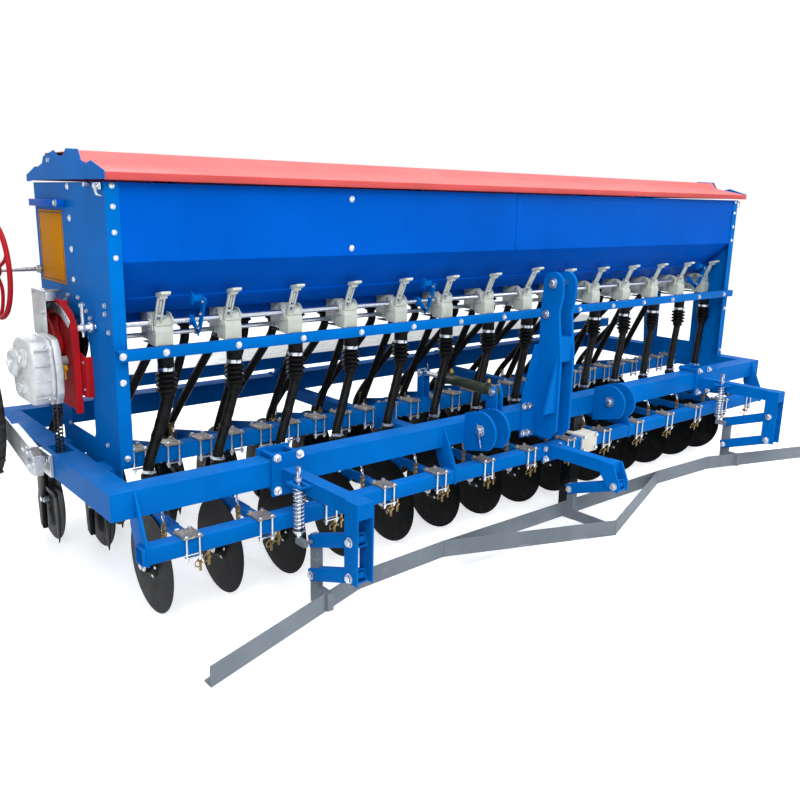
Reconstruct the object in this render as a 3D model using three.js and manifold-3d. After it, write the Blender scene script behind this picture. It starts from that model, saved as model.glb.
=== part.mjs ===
// Fourteen-run seed and fertiliser drill for a tractor's three-point hitch.
// Millimetres, +X to the machine's right-hand end, +Y to its rear, +Z up, ground at z = 0.
import * as THREE from "three";
import { mergeVertices } from "three/addons/utils/BufferGeometryUtils.js";
import Module from "manifold-3d";

const wasm = await Module();
wasm.setup();

// ---- driving dimensions -------------------------------------------------------------------
const GAP = 0.3; // between pieces that touch
const RUNS = 14; // fertiliser runs
const PITCH = 300; // spacing of the fertiliser runs
const SEED_PITCH = PITCH / 2; // spacing of the seed runs
const FRAME_HALF = (RUNS * PITCH) / 2 + 105; // half the width of the main frame
const FRAME_TOP = 631; // top of the main frame over the ground
const BEAM = 100; // square section of the frame's beams
const FRAME_DEPTH = 1475; // front face of the front beam to the rear end of the side beams
const REAR_BEAM_Y = 1370; // front face of the rear beam
const FRONT_BAR = 65; // square section of the front tool bar
const FRONT_BAR_WALL = 5;
const FRONT_BAR_TOP = 443;
const FRONT_BAR_Y = -85; // front face of the front tool bar
const FRONT_BAR_HALF = FRAME_HALF - 70;
const SEED_BAR = 70; // square section of the seed tool bar
const SEED_BAR_TOP = 595;
const SEED_BAR_Y = 545; // front face of the seed tool bar
const DISC_R = 205; // opener disc
const DISC_T = 5;
const DISC_Y = 300; // axle of the front discs
const DISC_HUB_R = 42;
const DISC_HUB_LEN = 34;
const AXLE_R = 11;
const AXLE_CLEAR = 0.8;
const LONG_ARM_Y = 1290; // axle of the seed discs on long arms
const SHORT_ARM_Y = 1070; // axle of the seed discs on short arms
const HOPPER_LEFT = 135 - FRAME_HALF; // outer faces of the hopper's end plates
const HOPPER_RIGHT = FRAME_HALF - 75;
const HOPPER_FRONT = 238; // front face of the hopper's front panel
const HOPPER_REAR = 1013; // rear face of the hopper's rear panel
const HOPPER_TOP = 1668;
const HOPPER_FLOOR = HOPPER_TOP - 488;
const HOPPER_FOLD = HOPPER_FLOOR + 213; // height at which the front panel folds inwards
const END_PLATE = 4; // thickness of an end plate
const SHEET = 4; // thickness of the hopper's sheet
const FLANGE = 50; // width of an end plate's front flange
const LID_SHEET = 3;
const LID_FRONT = 197;
const LID_REAR = 1059;
const LID_OVERHANG = 30; // of the lid over the right end plate
const LID_HINGE_Y = 1036;
const LID_HINGE_Z = HOPPER_TOP + 6;
const LID_HINGE_R = 7;
const LID_HINGES = [-5 * PITCH, 0, 5 * PITCH];
const METER_SHIFT = 0.45; // of a meter to the right of its run, as a share of the pitch
const METER_W = 52;
const METER_BASE = HOPPER_FLOOR - 127;
const SHAFT_Y = 410; // front adjusting shaft, through the meters
const SHAFT_Z = METER_BASE + 93;
const SHAFT_R = 10;
const RAIL_Y = 196; // front face of the tube rail
const RAIL_TOP = METER_BASE + 31;
const RAIL_H = 40;
const RAIL_D = 37.4;
const MAST_GAP = 78; // between the two mast plates
const MAST_PLATE = 16;
const MAST_TOP = 1312;
const HITCH_SPREAD = 482; // lower hitch point from the middle
const HITCH_PIN_R = 14;
const LEVELLER_X = 5 * PITCH; // leveller linkage from the middle
const LINK_LEN = 280; // leveller link, pivot to pivot
const LINK_DROP = 91; // how far the rear pivot hangs below the front one
const LINK_H = 50;
const LINK_W = 46;
const LINK_FORK = 5; // wall of the fork at the link's rear end
const PIVOT_R = 9;
const PIVOT_CLEAR = 0.6; // between a pivot pin and its bore
const LEVELLER_ARM = 60; // square section of the leveller's arms
const LEVELLER_ARM_TOP = 600;
const LEVELLER_REACH = 512; // front end of the side arms ahead of the frame
const CHANNEL_PLATE = 8;
const CHANNEL_BOTTOM = 292;
const UPPER_PIVOT_Z = 450;
const LOWER_PIVOT_Z = 312;
const BLADE_BOTTOM = 100;
const BLADE_H = 75;
const BLADE_T = 6;
const BLADE_FLANGE = 48;
const BLADE_HALF = FRAME_HALF - 111;
const LEG = 70; // square section of the parking leg
const LEG_X = PITCH;
const WHEEL_R = 330;
const WHEEL_W = 130;
const WHEEL_Y = 1235;
const WHEEL_Z = 700;
const WHEEL_X = -FRAME_HALF - 140; // middle of the ground wheel
const PLATFORM_Z = 790; // top of the rear platform
const PLATFORM_Y = 1130; // its front edge
const PLATFORM_DEPTH = 320;
const HAND_WHEEL_R = 200;
const HAND_WHEEL_X = HOPPER_LEFT - 180;

// ---- colours ------------------------------------------------------------------------------
const paint = (color, metalness = 0.15, roughness = 0.4) =>
  new THREE.MeshStandardMaterial({ color, metalness, roughness });
const BLUE = paint(0x0b62c8);
const RED = paint(0xc8343a);
const LID_RED = paint(0xe0565a);
const GREY = paint(0x6b7076, 0.3, 0.5);
const PALE_GREY = paint(0xb9bcba, 0.2, 0.5);
const METER_GREY = paint(0xc9ccbf, 0, 0.55);
const ZINC = paint(0xc4c7cc, 0.9, 0.35);
const STEEL = paint(0x17191c, 0.6, 0.5);
const RUBBER = paint(0x111214, 0, 0.85);
const OLIVE = paint(0x3d4238, 0.4, 0.5);

// ---- solid helpers ------------------------------------------------------------------------
function solid(geometry) {
  geometry.deleteAttribute("normal");
  geometry.deleteAttribute("uv");
  const merged = mergeVertices(geometry, 1e-4);
  return new wasm.Manifold(
    new wasm.Mesh({
      numProp: 3,
      vertProperties: new Float32Array(merged.attributes.position.array),
      triVerts: new Uint32Array(merged.index.array),
    }),
  );
}

function box(x0, x1, y0, y1, z0, z1) {
  const geometry = new THREE.BoxGeometry(x1 - x0, y1 - y0, z1 - z0);
  geometry.translate((x0 + x1) / 2, (y0 + y1) / 2, (z0 + z1) / 2);
  return solid(geometry);
}

// a straight round bar from one point to another
function rod(radius, from, to, sides = 10) {
  const a = new THREE.Vector3(...from);
  const b = new THREE.Vector3(...to);
  const geometry = new THREE.CylinderGeometry(radius, radius, a.distanceTo(b), sides);
  const turn = new THREE.Quaternion().setFromUnitVectors(
    new THREE.Vector3(0, 1, 0),
    b.clone().sub(a).normalize(),
  );
  geometry.applyQuaternion(turn);
  geometry.translate((a.x + b.x) / 2, (a.y + b.y) / 2, (a.z + b.z) / 2);
  return solid(geometry);
}

function outline(points) {
  return new THREE.Shape(points.map(([a, b]) => new THREE.Vector2(a, b)));
}

// an outline in (y, z) made thick from x0 to x1
function plateX(shape, x0, x1, curveSegments = 12) {
  const options = { depth: x1 - x0, bevelEnabled: false, curveSegments };
  const geometry = new THREE.ExtrudeGeometry(Array.isArray(shape) ? outline(shape) : shape, options);
  const axes = new THREE.Matrix4().set(0, 0, 1, x0, 1, 0, 0, 0, 0, 1, 0, 0, 0, 0, 0, 1);
  geometry.applyMatrix4(axes);
  return solid(geometry);
}

// an outline in (x, z) made thick from y0 to y1
function plateY(shape, y0, y1, curveSegments = 12) {
  const options = { depth: y1 - y0, bevelEnabled: false, curveSegments };
  const geometry = new THREE.ExtrudeGeometry(Array.isArray(shape) ? outline(shape) : shape, options);
  const axes = new THREE.Matrix4().set(1, 0, 0, 0, 0, 0, -1, y1, 0, 1, 0, 0, 0, 0, 0, 1);
  geometry.applyMatrix4(axes);
  return solid(geometry);
}

// an outline in (x, y) made thick from z0 to z1
function plateZ(shape, z0, z1) {
  const options = { depth: z1 - z0, bevelEnabled: false };
  const geometry = new THREE.ExtrudeGeometry(outline(shape), options);
  geometry.translate(0, 0, z0);
  return solid(geometry);
}

// a profile of [radius, distance along x] turned about the x axis through (y, z)
function turnedX(profile, x, y, z, segments = 32) {
  const points = profile.map(([r, h]) => new THREE.Vector2(r, h));
  const geometry = new THREE.LatheGeometry(points, segments);
  geometry.rotateZ(-Math.PI / 2);
  geometry.translate(x, y, z);
  return solid(geometry);
}

// a round bar along a smooth curve through the points
function pipe(radius, points, sides = 10, steps = 10) {
  const curve = new THREE.CatmullRomCurve3(points.map((p) => new THREE.Vector3(...p)));
  const ring = new THREE.Shape(
    Array.from({ length: sides }, (_, k) => {
      const angle = (2 * Math.PI * k) / sides;
      return new THREE.Vector2(radius * Math.cos(angle), radius * Math.sin(angle));
    }),
  );
  const options = { steps, bevelEnabled: false, extrudePath: curve };
  return solid(new THREE.ExtrudeGeometry(ring, options));
}

function join(solids) {
  return solids.reduce((whole, piece) => whole.add(piece));
}

function cut(whole, tools) {
  return tools.reduce((rest, tool) => rest.subtract(tool), whole);
}

const machine = new THREE.Group();

function part(name, body, material) {
  const mesh = body.getMesh();
  const geometry = new THREE.BufferGeometry();
  geometry.setAttribute("position", new THREE.BufferAttribute(mesh.vertProperties, 3));
  geometry.setIndex(new THREE.BufferAttribute(mesh.triVerts, 1));
  geometry.computeVertexNormals();
  const node = new THREE.Mesh(geometry, material);
  node.name = name;
  machine.add(node);
}

// ---- places worked out from the driving dimensions ------------------------------------------
const FRAME_BOTTOM = FRAME_TOP - BEAM;
const SIDE_INNER = FRAME_HALF - BEAM;
const runX = (i) => (i - (RUNS - 1) / 2) * PITCH;
const seedX = (k) => (k - (2 * RUNS - 1) / 2) * SEED_PITCH;
const meterX = (i) => runX(i) + METER_SHIFT * PITCH;
const runs = Array.from({ length: RUNS }, (_, i) => i);
const seedRuns = Array.from({ length: 2 * RUNS }, (_, k) => k);
const HOPPER_IN_LEFT = HOPPER_LEFT + END_PLATE;
const HOPPER_IN_RIGHT = HOPPER_RIGHT - END_PLATE;
const FRONT_BAR_BACK = FRONT_BAR_Y + FRONT_BAR;
const FRONT_BAR_BOTTOM = FRONT_BAR_TOP - FRONT_BAR;
const BRACE_X = 2 * PITCH; // longitudinal beams between the front beam and the rear beam
const BRACE = 60;
const CHAIN_X = -FRAME_HALF + 48; // middle of the drive chain
const CHAIN_SLOT = { x: 34, y0: 585, y1: 715 };
const CHAIN_Y = 650;
const CHAIN_LOW_Z = 590; // lower sprocket, in line with the wheel arm's pivot
const DRIVE_RISE = HOPPER_FLOOR - 1180; // the drive goes up and down with the hopper
const CHAIN_HIGH_Z = 900 + DRIVE_RISE;

// ---- frame --------------------------------------------------------------------------------
function mainFrame() {
  const side = (s) => {
    const x0 = s < 0 ? -FRAME_HALF : SIDE_INNER;
    return box(x0, x0 + BEAM, 0, FRAME_DEPTH, FRAME_BOTTOM, FRAME_TOP);
  };
  const brace = (x) => box(x - BRACE / 2, x + BRACE / 2, BEAM - 1, REAR_BEAM_Y + 1,
    FRAME_BOTTOM - BRACE + 22, FRAME_BOTTOM + 22);
  const beams = join([
    box(-FRAME_HALF, FRAME_HALF, 0, BEAM, FRAME_BOTTOM, FRAME_TOP),
    side(-1),
    side(1),
    box(-FRAME_HALF + 1, FRAME_HALF - 1, REAR_BEAM_Y, REAR_BEAM_Y + BEAM, FRAME_BOTTOM, FRAME_TOP),
    box(-SIDE_INNER - 1, HOPPER_LEFT - GAP, 300, 420, FRAME_BOTTOM + 20, FRAME_TOP - 10),
    box(-SIDE_INNER - 1, HOPPER_LEFT - GAP, 760, 840, FRAME_BOTTOM + 20, FRAME_TOP - 10),
  ]);
  const hole = rod(13, [-FRAME_HALF - 1, CHAIN_Y, CHAIN_LOW_Z], [CHAIN_X, CHAIN_Y, CHAIN_LOW_Z], 12);
  const slot = box(CHAIN_X - CHAIN_SLOT.x, CHAIN_X + CHAIN_SLOT.x, CHAIN_SLOT.y0, CHAIN_SLOT.y1,
    FRAME_BOTTOM - 1, FRAME_TOP + 1);
  return cut(join([beams, brace(-BRACE_X), brace(BRACE_X)]), [slot, hole]);
}

function gusset(x) {
  const y = FRONT_BAR_Y - 4;
  return plateX([
    [-GAP, FRAME_TOP - 3], [y, FRONT_BAR_TOP + 2], [y, FRONT_BAR_BOTTOM - 4], [-10, FRONT_BAR_BOTTOM - 4],
    [45, FRAME_BOTTOM - 40], [45, FRAME_BOTTOM - GAP], [-GAP, FRAME_BOTTOM - GAP],
  ], x - 5, x + 5);
}

// top plate, lower plate and the U-bolts around a tool bar
function barClamp(x, y, bar, top) {
  const half = 38;
  const over = 12;
  const plate = 8;
  const lid = box(x - half, x + half, y - over, y + bar + over, top - 1, top + plate);
  const loops = box(x - half + 6, x + half - 6, y - 10, y + bar + 10, top - bar - plate, top + plate - 1);
  return lid.add(loops);
}

const FRONT_ARM_H = 32;
const FRONT_ARM_W = 40;
const SHANK_X = 10; // from the disc's back to the shank beside it
const SHANK_T = 14;

function frontOpener(x) {
  const top = FRONT_BAR_TOP;
  const low = top - FRONT_ARM_H;
  const y = DISC_Y;
  const arm = box(x - FRONT_ARM_W / 2, x + FRONT_ARM_W / 2, FRONT_BAR_BACK - 1, y - 190, low, top);
  const shank = plateX([
    [y - 230, top - 1], [y - 60, top - 1], [y + 30, 380], [y + 30, 300], [y + 24, DISC_R - 30], [y - 24,
      DISC_R - 30],
    [y - 34, 330], [y - 100, low - 10], [y - 230, low + 1],
  ], x + SHANK_X, x + SHANK_X + SHANK_T);
  const axle = rod(AXLE_R, [x - DISC_HUB_LEN - 10, y, DISC_R], [x + SHANK_X + 4, y, DISC_R], 8);
  const boot = plateX([
    [y + 34, 330], [y + 72, 330], [y + 76, 60], [y + 36, 45], [y + 14, 140], [y + 20, 300],
  ], x + SHANK_X, x + SHANK_X + 30);
  return join([arm, shank, axle, boot, barClamp(x, FRONT_BAR_Y, FRONT_BAR, FRONT_BAR_TOP)]);
}

function frontToolBar() {
  const y0 = FRONT_BAR_Y;
  const y1 = FRONT_BAR_BACK;
  const t = FRONT_BAR_WALL;
  const bar = box(-FRONT_BAR_HALF, FRONT_BAR_HALF, y0, y1, FRONT_BAR_BOTTOM, FRONT_BAR_TOP);
  const gussets = [18 - FRONT_BAR_HALF, -2.2 * PITCH, 2.2 * PITCH, FRONT_BAR_HALF - 18].map(gusset);
  const bore = box(-FRONT_BAR_HALF - 1, FRONT_BAR_HALF + 1, y0 + t, y1 - t, FRONT_BAR_BOTTOM + t,
    FRONT_BAR_TOP - t);
  return cut(join([bar, ...gussets, ...runs.map((i) => frontOpener(runX(i)))]), [bore]);
}

// a seed opener: clamp, arm, boot and disc, one piece with its bar
function seedOpener(k) {
  const x = seedX(k);
  const y = k % 2 === 0 ? LONG_ARM_Y : SHORT_ARM_Y;
  const y0 = SEED_BAR_Y + SEED_BAR - 10;
  const z = SEED_BAR_TOP - SEED_BAR;
  const sides = 14;
  const rim = Array.from({ length: sides - 2 }, (_, i) => {
    const angle = Math.PI / 2 - ((2 * i + 1) * Math.PI) / (sides - 3) * 0.86 - 0.24;
    return [y + DISC_R * Math.cos(angle), DISC_R + DISC_R * Math.sin(angle)];
  });
  const arm = [[y0, z + 4], [y0, z + 44], [y0 + 60, z + 44]];
  const clamp = box(x - 38, x + 38, SEED_BAR_Y - 10, SEED_BAR_Y + SEED_BAR + 10, z - 8, SEED_BAR_TOP + 8);
  return plateX([...arm, ...rim], x - 5, x + 5).add(clamp);
}

function seedToolBar() {
  const bar = box(-SIDE_INNER + GAP, SIDE_INNER - GAP, SEED_BAR_Y, SEED_BAR_Y + SEED_BAR,
    SEED_BAR_TOP - SEED_BAR, SEED_BAR_TOP);
  const notch = (x) => box(x - BRACE / 2 - GAP, x + BRACE / 2 + GAP, SEED_BAR_Y - 20,
    SEED_BAR_Y + SEED_BAR + 20,
    FRAME_BOTTOM - 100, FRAME_BOTTOM + 22 + GAP);
  return cut(join([bar, ...seedRuns.map(seedOpener)]), [notch(-BRACE_X), notch(BRACE_X)]);
}

// ---- front discs --------------------------------------------------------------------------
function frontDisc(x) {
  const r = DISC_R;
  const bore = AXLE_R + AXLE_CLEAR;
  const profile = [
    [bore, -DISC_HUB_LEN], [DISC_HUB_R - 8, -DISC_HUB_LEN], [DISC_HUB_R, 0], [r, 0], [r, DISC_T],
    [bore, DISC_T], [bore, -DISC_HUB_LEN],
  ];
  return turnedX(profile, x, DISC_Y, DISC_R, 16);
}

// ---- hopper -------------------------------------------------------------------------------
const TROUGH_FRONT = 470;
const TROUGH_BACK = 545;
const RIDGE_Y = 640; // the partition between the two compartments stands here
const RIDGE_Z = HOPPER_FLOOR + 150;
const SEED_TROUGH_FRONT = 735;
const SEED_TROUGH_BACK = 810;

function hopperBody() {
  const s = SHEET;
  const y0 = HOPPER_FRONT;
  const y1 = HOPPER_REAR;
  const floor = HOPPER_FLOOR;
  const skin = outline([
    [y0, HOPPER_TOP], [y0, HOPPER_FOLD], [TROUGH_FRONT, floor], [TROUGH_BACK, floor], [RIDGE_Y, RIDGE_Z],
    [SEED_TROUGH_FRONT, floor], [SEED_TROUGH_BACK, floor], [y1, HOPPER_FOLD], [y1, HOPPER_TOP],
  ]);
  const length = [HOPPER_IN_LEFT + GAP, HOPPER_IN_RIGHT - GAP];
  const shell = plateX(skin, ...length);
  const past = [length[0] - 1, length[1] + 1];
  const up = HOPPER_TOP + 1;
  const slope = s * 0.45;
  const front = plateX([
    [y0 + s, up], [y0 + s, HOPPER_FOLD + slope], [TROUGH_FRONT + slope, floor + s], [TROUGH_BACK - slope,
      floor + s],
    [RIDGE_Y - s, RIDGE_Z + s * 2], [RIDGE_Y - s / 2, up],
  ], ...past);
  const back = plateX([
    [y1 - s, up], [RIDGE_Y + s / 2, up], [RIDGE_Y + s, RIDGE_Z + s * 2], [SEED_TROUGH_FRONT + slope,
      floor + s],
    [SEED_TROUGH_BACK - slope, floor + s], [y1 - s, HOPPER_FOLD + slope],
  ], ...past);
  const partitionTop = box(past[0], past[1], RIDGE_Y - s, RIDGE_Y + s, HOPPER_TOP - 70, up);
  const lug = (x) => box(x - 6, x + 6, y1 - 1, LID_HINGE_Y + 12, LID_HINGE_Z - 12, LID_HINGE_Z + 12);
  const foot = (x) => box(x - 6, x + 6, y1 - 1, y1 + 6, LID_HINGE_Z - 50, LID_HINGE_Z - 6);
  const lugs = LID_HINGES.flatMap((x) => [lug(x - 38), lug(x + 38), foot(x - 38), foot(x + 38)]);
  const bores = LID_HINGES.map((x) => rod(LID_HINGE_R + PIVOT_CLEAR, [x - 60, LID_HINGE_Y, LID_HINGE_Z],
    [x + 60, LID_HINGE_Y, LID_HINGE_Z], 12));
  return cut(join([cut(shell, [front, back, partitionTop]), ...lugs]), bores);
}

function endPlate(left) {
  const x0 = left ? HOPPER_LEFT : HOPPER_RIGHT - END_PLATE;
  const x1 = x0 + END_PLATE;
  const y0 = HOPPER_FRONT - GAP - END_PLATE;
  const low = FRAME_BOTTOM + 15;
  // the left plate reaches down past the side beam with a gap for the seed bar, the right one stands on
  // its beam
  const foot = left
    ? [[y0, low], [SEED_BAR_Y - 15, low], [SEED_BAR_Y - 15, SEED_BAR_TOP + 12],
      [SEED_BAR_Y + SEED_BAR + 15, SEED_BAR_TOP + 12],
      [SEED_BAR_Y + SEED_BAR + 15, low], [850, low]]
    : [[y0, FRAME_TOP + GAP], [850, FRAME_TOP + GAP]];
  const sheet = outline([
    [y0, HOPPER_TOP], ...foot, [880, HOPPER_FLOOR - 180], [HOPPER_REAR, HOPPER_FLOOR + 58], [HOPPER_REAR,
      HOPPER_TOP],
  ]);
  const arch = new THREE.Path();
  arch.moveTo(480, 700);
  arch.lineTo(480, HOPPER_FLOOR - 140);
  arch.absarc(612, HOPPER_FLOOR - 140, 132, Math.PI, 0, true);
  arch.lineTo(744, 700);
  arch.closePath();
  sheet.holes.push(arch);
  const web = plateX(sheet, x0, x1, 8);
  const flangeX = left ? [x0, x0 + FLANGE] : [x1 - FLANGE, x1];
  const flange = box(...flangeX, y0, y0 + END_PLATE, left ? FRAME_TOP + 20 : FRAME_TOP + GAP, HOPPER_TOP);
  const pieces = left ? [web, flange] : [web, flange, box(x1 - 24, x1, y0, 850, FRAME_TOP + GAP,
    FRAME_TOP + 6)];
  return cut(join(pieces), [rod(SHAFT_R + PIVOT_CLEAR, [x0 - 9, SHAFT_Y, SHAFT_Z], [x1 + 9, SHAFT_Y,
    SHAFT_Z], 8)]);
}

const LID_PROFILE = [
  [LID_FRONT, HOPPER_TOP + 8], [LID_FRONT, HOPPER_TOP + 34], [420, HOPPER_TOP + 76], [446,
    HOPPER_TOP + 110],
  [812, HOPPER_TOP + 110], [838, HOPPER_TOP + 76], [LID_REAR, HOPPER_TOP + 34], [LID_REAR, HOPPER_TOP + 8],
];
const LID_X = [HOPPER_LEFT - 8, HOPPER_RIGHT + LID_OVERHANG];

function lid() {
  const t = LID_SHEET;
  const inner = [
    [LID_FRONT + t, HOPPER_TOP], [LID_FRONT + t, HOPPER_TOP + 34 - t], [421, HOPPER_TOP + 76 - t],
    [448, HOPPER_TOP + 110 - t], [810, HOPPER_TOP + 110 - t], [837, HOPPER_TOP + 76 - t],
    [LID_REAR - t, HOPPER_TOP + 34 - t], [LID_REAR - t, HOPPER_TOP],
  ];
  const shell = plateX(LID_PROFILE, ...LID_X);
  const roof = shell.subtract(plateX(inner, LID_X[0] - 1, LID_X[1] + 1));
  const knuckles = LID_HINGES.map((x) => {
    const tab = box(x - 26, x + 26, LID_HINGE_Y, LID_REAR - 1, LID_HINGE_Z + 3, LID_HINGE_Z + 7);
    return tab.add(rod(LID_HINGE_R, [x - 46, LID_HINGE_Y, LID_HINGE_Z], [x + 46, LID_HINGE_Y,
      LID_HINGE_Z], 12));
  });
  return join([roof, ...knuckles]);
}

// the notched plate that closes one end of the lid
function lidCap(left) {
  const profile = [
    [LID_FRONT, HOPPER_TOP + 9], [LID_FRONT, HOPPER_TOP + 38], [318, HOPPER_TOP + 73], [370,
      HOPPER_TOP + 62],
    [414, HOPPER_TOP + 77], [438, HOPPER_TOP + 114], [560, HOPPER_TOP + 120], [596, HOPPER_TOP + 96],
    [654, HOPPER_TOP + 96], [700, HOPPER_TOP + 118], [826, HOPPER_TOP + 98], [842, HOPPER_TOP + 74],
    [890, HOPPER_TOP + 60], [938, HOPPER_TOP + 62], [LID_REAR, HOPPER_TOP + 30], [LID_REAR, HOPPER_TOP + 4],
    [1020, HOPPER_TOP + 4], [980, HOPPER_TOP + 9],
  ];
  const x1 = left ? LID_X[0] - GAP : LID_X[1] + GAP + 4;
  return plateX(profile, x1 - 4, x1);
}

// ---- metering -----------------------------------------------------------------------------
function fertiliserMeters() {
  const half = METER_W / 2;
  const housing = (x) => plateX([
    [374, METER_BASE], [374, METER_BASE + 79], [400, METER_BASE + 108], [TROUGH_FRONT, HOPPER_FLOOR - GAP],
    [TROUGH_BACK, HOPPER_FLOOR - GAP], [TROUGH_BACK, METER_BASE],
  ], x - half, x + half);
  const lever = (x, i) => {
    const pull = i === 7 ? 20 : 0;
    return plateX([
      [396, METER_BASE + 92], [344 - pull, METER_BASE + 220 + pull], [290 - pull, METER_BASE + 222 + pull],
      [290 - pull, METER_BASE + 213 + pull], [330 - pull, METER_BASE + 204 + pull], [378, METER_BASE + 74],
    ], x - 18, x + 18);
  };
  const bore = rod(SHAFT_R + PIVOT_CLEAR, [HOPPER_LEFT, SHAFT_Y, SHAFT_Z], [HOPPER_RIGHT, SHAFT_Y,
    SHAFT_Z], 8);
  const shaft = rod(SHAFT_R, [HOPPER_IN_LEFT + GAP, 500, METER_BASE + 32], [HOPPER_IN_RIGHT - GAP, 500,
    METER_BASE + 32], 8);
  return cut(join([shaft, ...runs.flatMap((i) => [housing(meterX(i)), lever(meterX(i), i)])]), [bore]);
}

// the round shaft across the front with its curved levers and the hand lever at its left end
function adjustingShaft() {
  const shaft = rod(SHAFT_R, [HOPPER_LEFT - 62, SHAFT_Y, SHAFT_Z], [HOPPER_RIGHT + 12, SHAFT_Y, SHAFT_Z],
    8);
  const lever = (x) => plateX([
    [SHAFT_Y - 122, SHAFT_Z + 104], [SHAFT_Y - 136, SHAFT_Z + 84], [SHAFT_Y - 84, SHAFT_Z + 10],
      [SHAFT_Y - 66, SHAFT_Z - 66],
    [SHAFT_Y - 40, SHAFT_Z - 66], [SHAFT_Y - 20, SHAFT_Z - 22], [SHAFT_Y + 12, SHAFT_Z - 14],
      [SHAFT_Y + 12, SHAFT_Z + 14],
    [SHAFT_Y - 50, SHAFT_Z + 22],
  ], x - 5, x + 5);
  const collar = (x) => rod(SHAFT_R + 8, [x - 12, SHAFT_Y, SHAFT_Z], [x + 12, SHAFT_Y, SHAFT_Z], 8);
  const x0 = HOPPER_LEFT - 44;
  const hand = box(x0 - 6, x0 + 6, SHAFT_Y - 14, SHAFT_Y + 14, SHAFT_Z, SHAFT_Z + 97);
  return join([shaft, hand, collar(x0), ...[0, 4, 12].flatMap((i) => [lever(meterX(i) + 95),
    collar(meterX(i) + 95)])]);
}

const SEED_TUBE_R = 14;
const SEED_SHAFT_Z = HOPPER_FLOOR - 75;

function seedMeters() {
  const half = METER_W / 2;
  const seedMeterX = (k) => (HOPPER_LEFT + HOPPER_RIGHT) / 2 + seedX(k);
  const housing = (x) => box(x - half, x + half, SEED_TROUGH_FRONT - 2, SEED_TROUGH_BACK + 2,
    HOPPER_FLOOR - 120, HOPPER_FLOOR - GAP);
  const tube = (k) => {
    const x = seedMeterX(k);
    const long = k % 2 === 0;
    const foot = [seedX(k) - 22, (long ? LONG_ARM_Y : SHORT_ARM_Y) - 66, DISC_R + 156];
    const top = HOPPER_FLOOR - 116;
    return pipe(SEED_TUBE_R, [[x, 760, top], [x - 8, 770, top - 104], [foot[0], foot[1] - 30,
      foot[2] + 190], foot], 4, 4);
  };
  const shaft = rod(9, [HOPPER_IN_LEFT + GAP, 770, SEED_SHAFT_Z], [HOPPER_IN_RIGHT - GAP, 770,
    SEED_SHAFT_Z], 6);
  return join([shaft, ...seedRuns.flatMap((k) => [housing(seedMeterX(k)), tube(k)])]);
}

const CUP_Y = 332;
const CUP_Z = 560;

// the rail across the front with the fourteen fertiliser tubes that hang from it
function tubeRail() {
  const z0 = RAIL_TOP - RAIL_H;
  const rail = join([
    box(HOPPER_LEFT + 2, HOPPER_RIGHT - 2, RAIL_Y, RAIL_Y + 5, z0, RAIL_TOP),
    box(HOPPER_LEFT + 2, HOPPER_RIGHT - 2, RAIL_Y, RAIL_Y + RAIL_D, RAIL_TOP - 5, RAIL_TOP),
  ]);
  const run = (i) => {
    const x = meterX(i);
    const foot = runX(i) + 24;
    const top = METER_BASE - GAP;
    const drop = top - CUP_Z;
    const bellows = rod(32, [x, 376, top - drop * 0.4], [x, 376, top], 7);
    const tube = pipe(22, [[x, 376, top - drop * 0.39], [x - 20, 372, top - drop * 0.59],
      [foot + 14, CUP_Y + 8, CUP_Z + drop * 0.18], [foot, CUP_Y, CUP_Z - 20]], 6, 4);
    const hanger = box(x - 26, x - 8, RAIL_Y + 2, 350, z0 + 4, z0 + 8);
    const cup = rod(30, [foot, CUP_Y, CUP_Z - 45], [foot, CUP_Y, CUP_Z + 5], 6);
    const outlet = pipe(17, [[foot, CUP_Y, CUP_Z - 30], [foot + 3, CUP_Y + 12, 440], [foot + 4,
      DISC_Y + 53, 334]], 5, 2);
    return join([bellows, tube, hanger, cup, outlet]);
  };
  return join([rail, ...runs.map(run)]);
}

// ---- hitch --------------------------------------------------------------------------------
function mast() {
  const inner = MAST_GAP / 2;
  const plate = new THREE.Shape();
  plate.moveTo(-12, FRAME_BOTTOM - 36);
  plate.lineTo(-12, 1120);
  plate.lineTo(-20, 1230);
  plate.absarc(-78, MAST_TOP - 62, 60, 0.2, Math.PI, false);
  plate.lineTo(-138, 1190);
  plate.lineTo(-122, 1120);
  plate.lineTo(-150, 900);
  plate.lineTo(-150, FRAME_BOTTOM + 6);
  plate.lineTo(-110, FRAME_BOTTOM - 40);
  plate.closePath();
  const cheek = (x) => plateX(plate, x, x + MAST_PLATE, 5);
  const back = plateY([
    [-150, FRAME_BOTTOM - 40], [150, FRAME_BOTTOM - 40], [150, FRAME_TOP + 60], [75, 950], [-75, 950],
      [-150, FRAME_TOP + 60],
  ], -12.5, -GAP);
  const spacer = box(-inner - 1, inner + 1, -140, -30, 880, 1000);
  const pin = (y, z, r) => rod(r, [-inner - MAST_PLATE - 16, y, z], [inner + MAST_PLATE + 16, y, z]);
  const brace = plateY([[-135, FRAME_TOP + 1], [-50, FRAME_TOP + 1], [-50, 930]], -140, -128);
  return join([cheek(-inner - MAST_PLATE), cheek(inner), back, spacer, pin(-80, 1256, 13), pin(-48, 1104,
    11), brace]);
}

function hitchClevis(side) {
  const x = side * HITCH_SPREAD;
  const ear = new THREE.Shape();
  ear.moveTo(-GAP, FRAME_BOTTOM - 40);
  ear.lineTo(-GAP, FRAME_TOP + 42);
  ear.lineTo(-60, FRAME_TOP + 62);
  ear.absarc(-104, 604, 94, 1.1, 4.1, false);
  ear.closePath();
  const cheek = (x0) => plateX(ear, x0, x0 + 14, 6);
  const tie = box(x - 51, x + 51, -30, -GAP, FRAME_BOTTOM - 30, FRAME_TOP + 30);
  const pin = rod(HITCH_PIN_R, [x - 72, -108, 612], [x + 72, -108, 612], 12);
  return join([cheek(x - 51), cheek(x + 37), tie, pin]);
}

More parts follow.
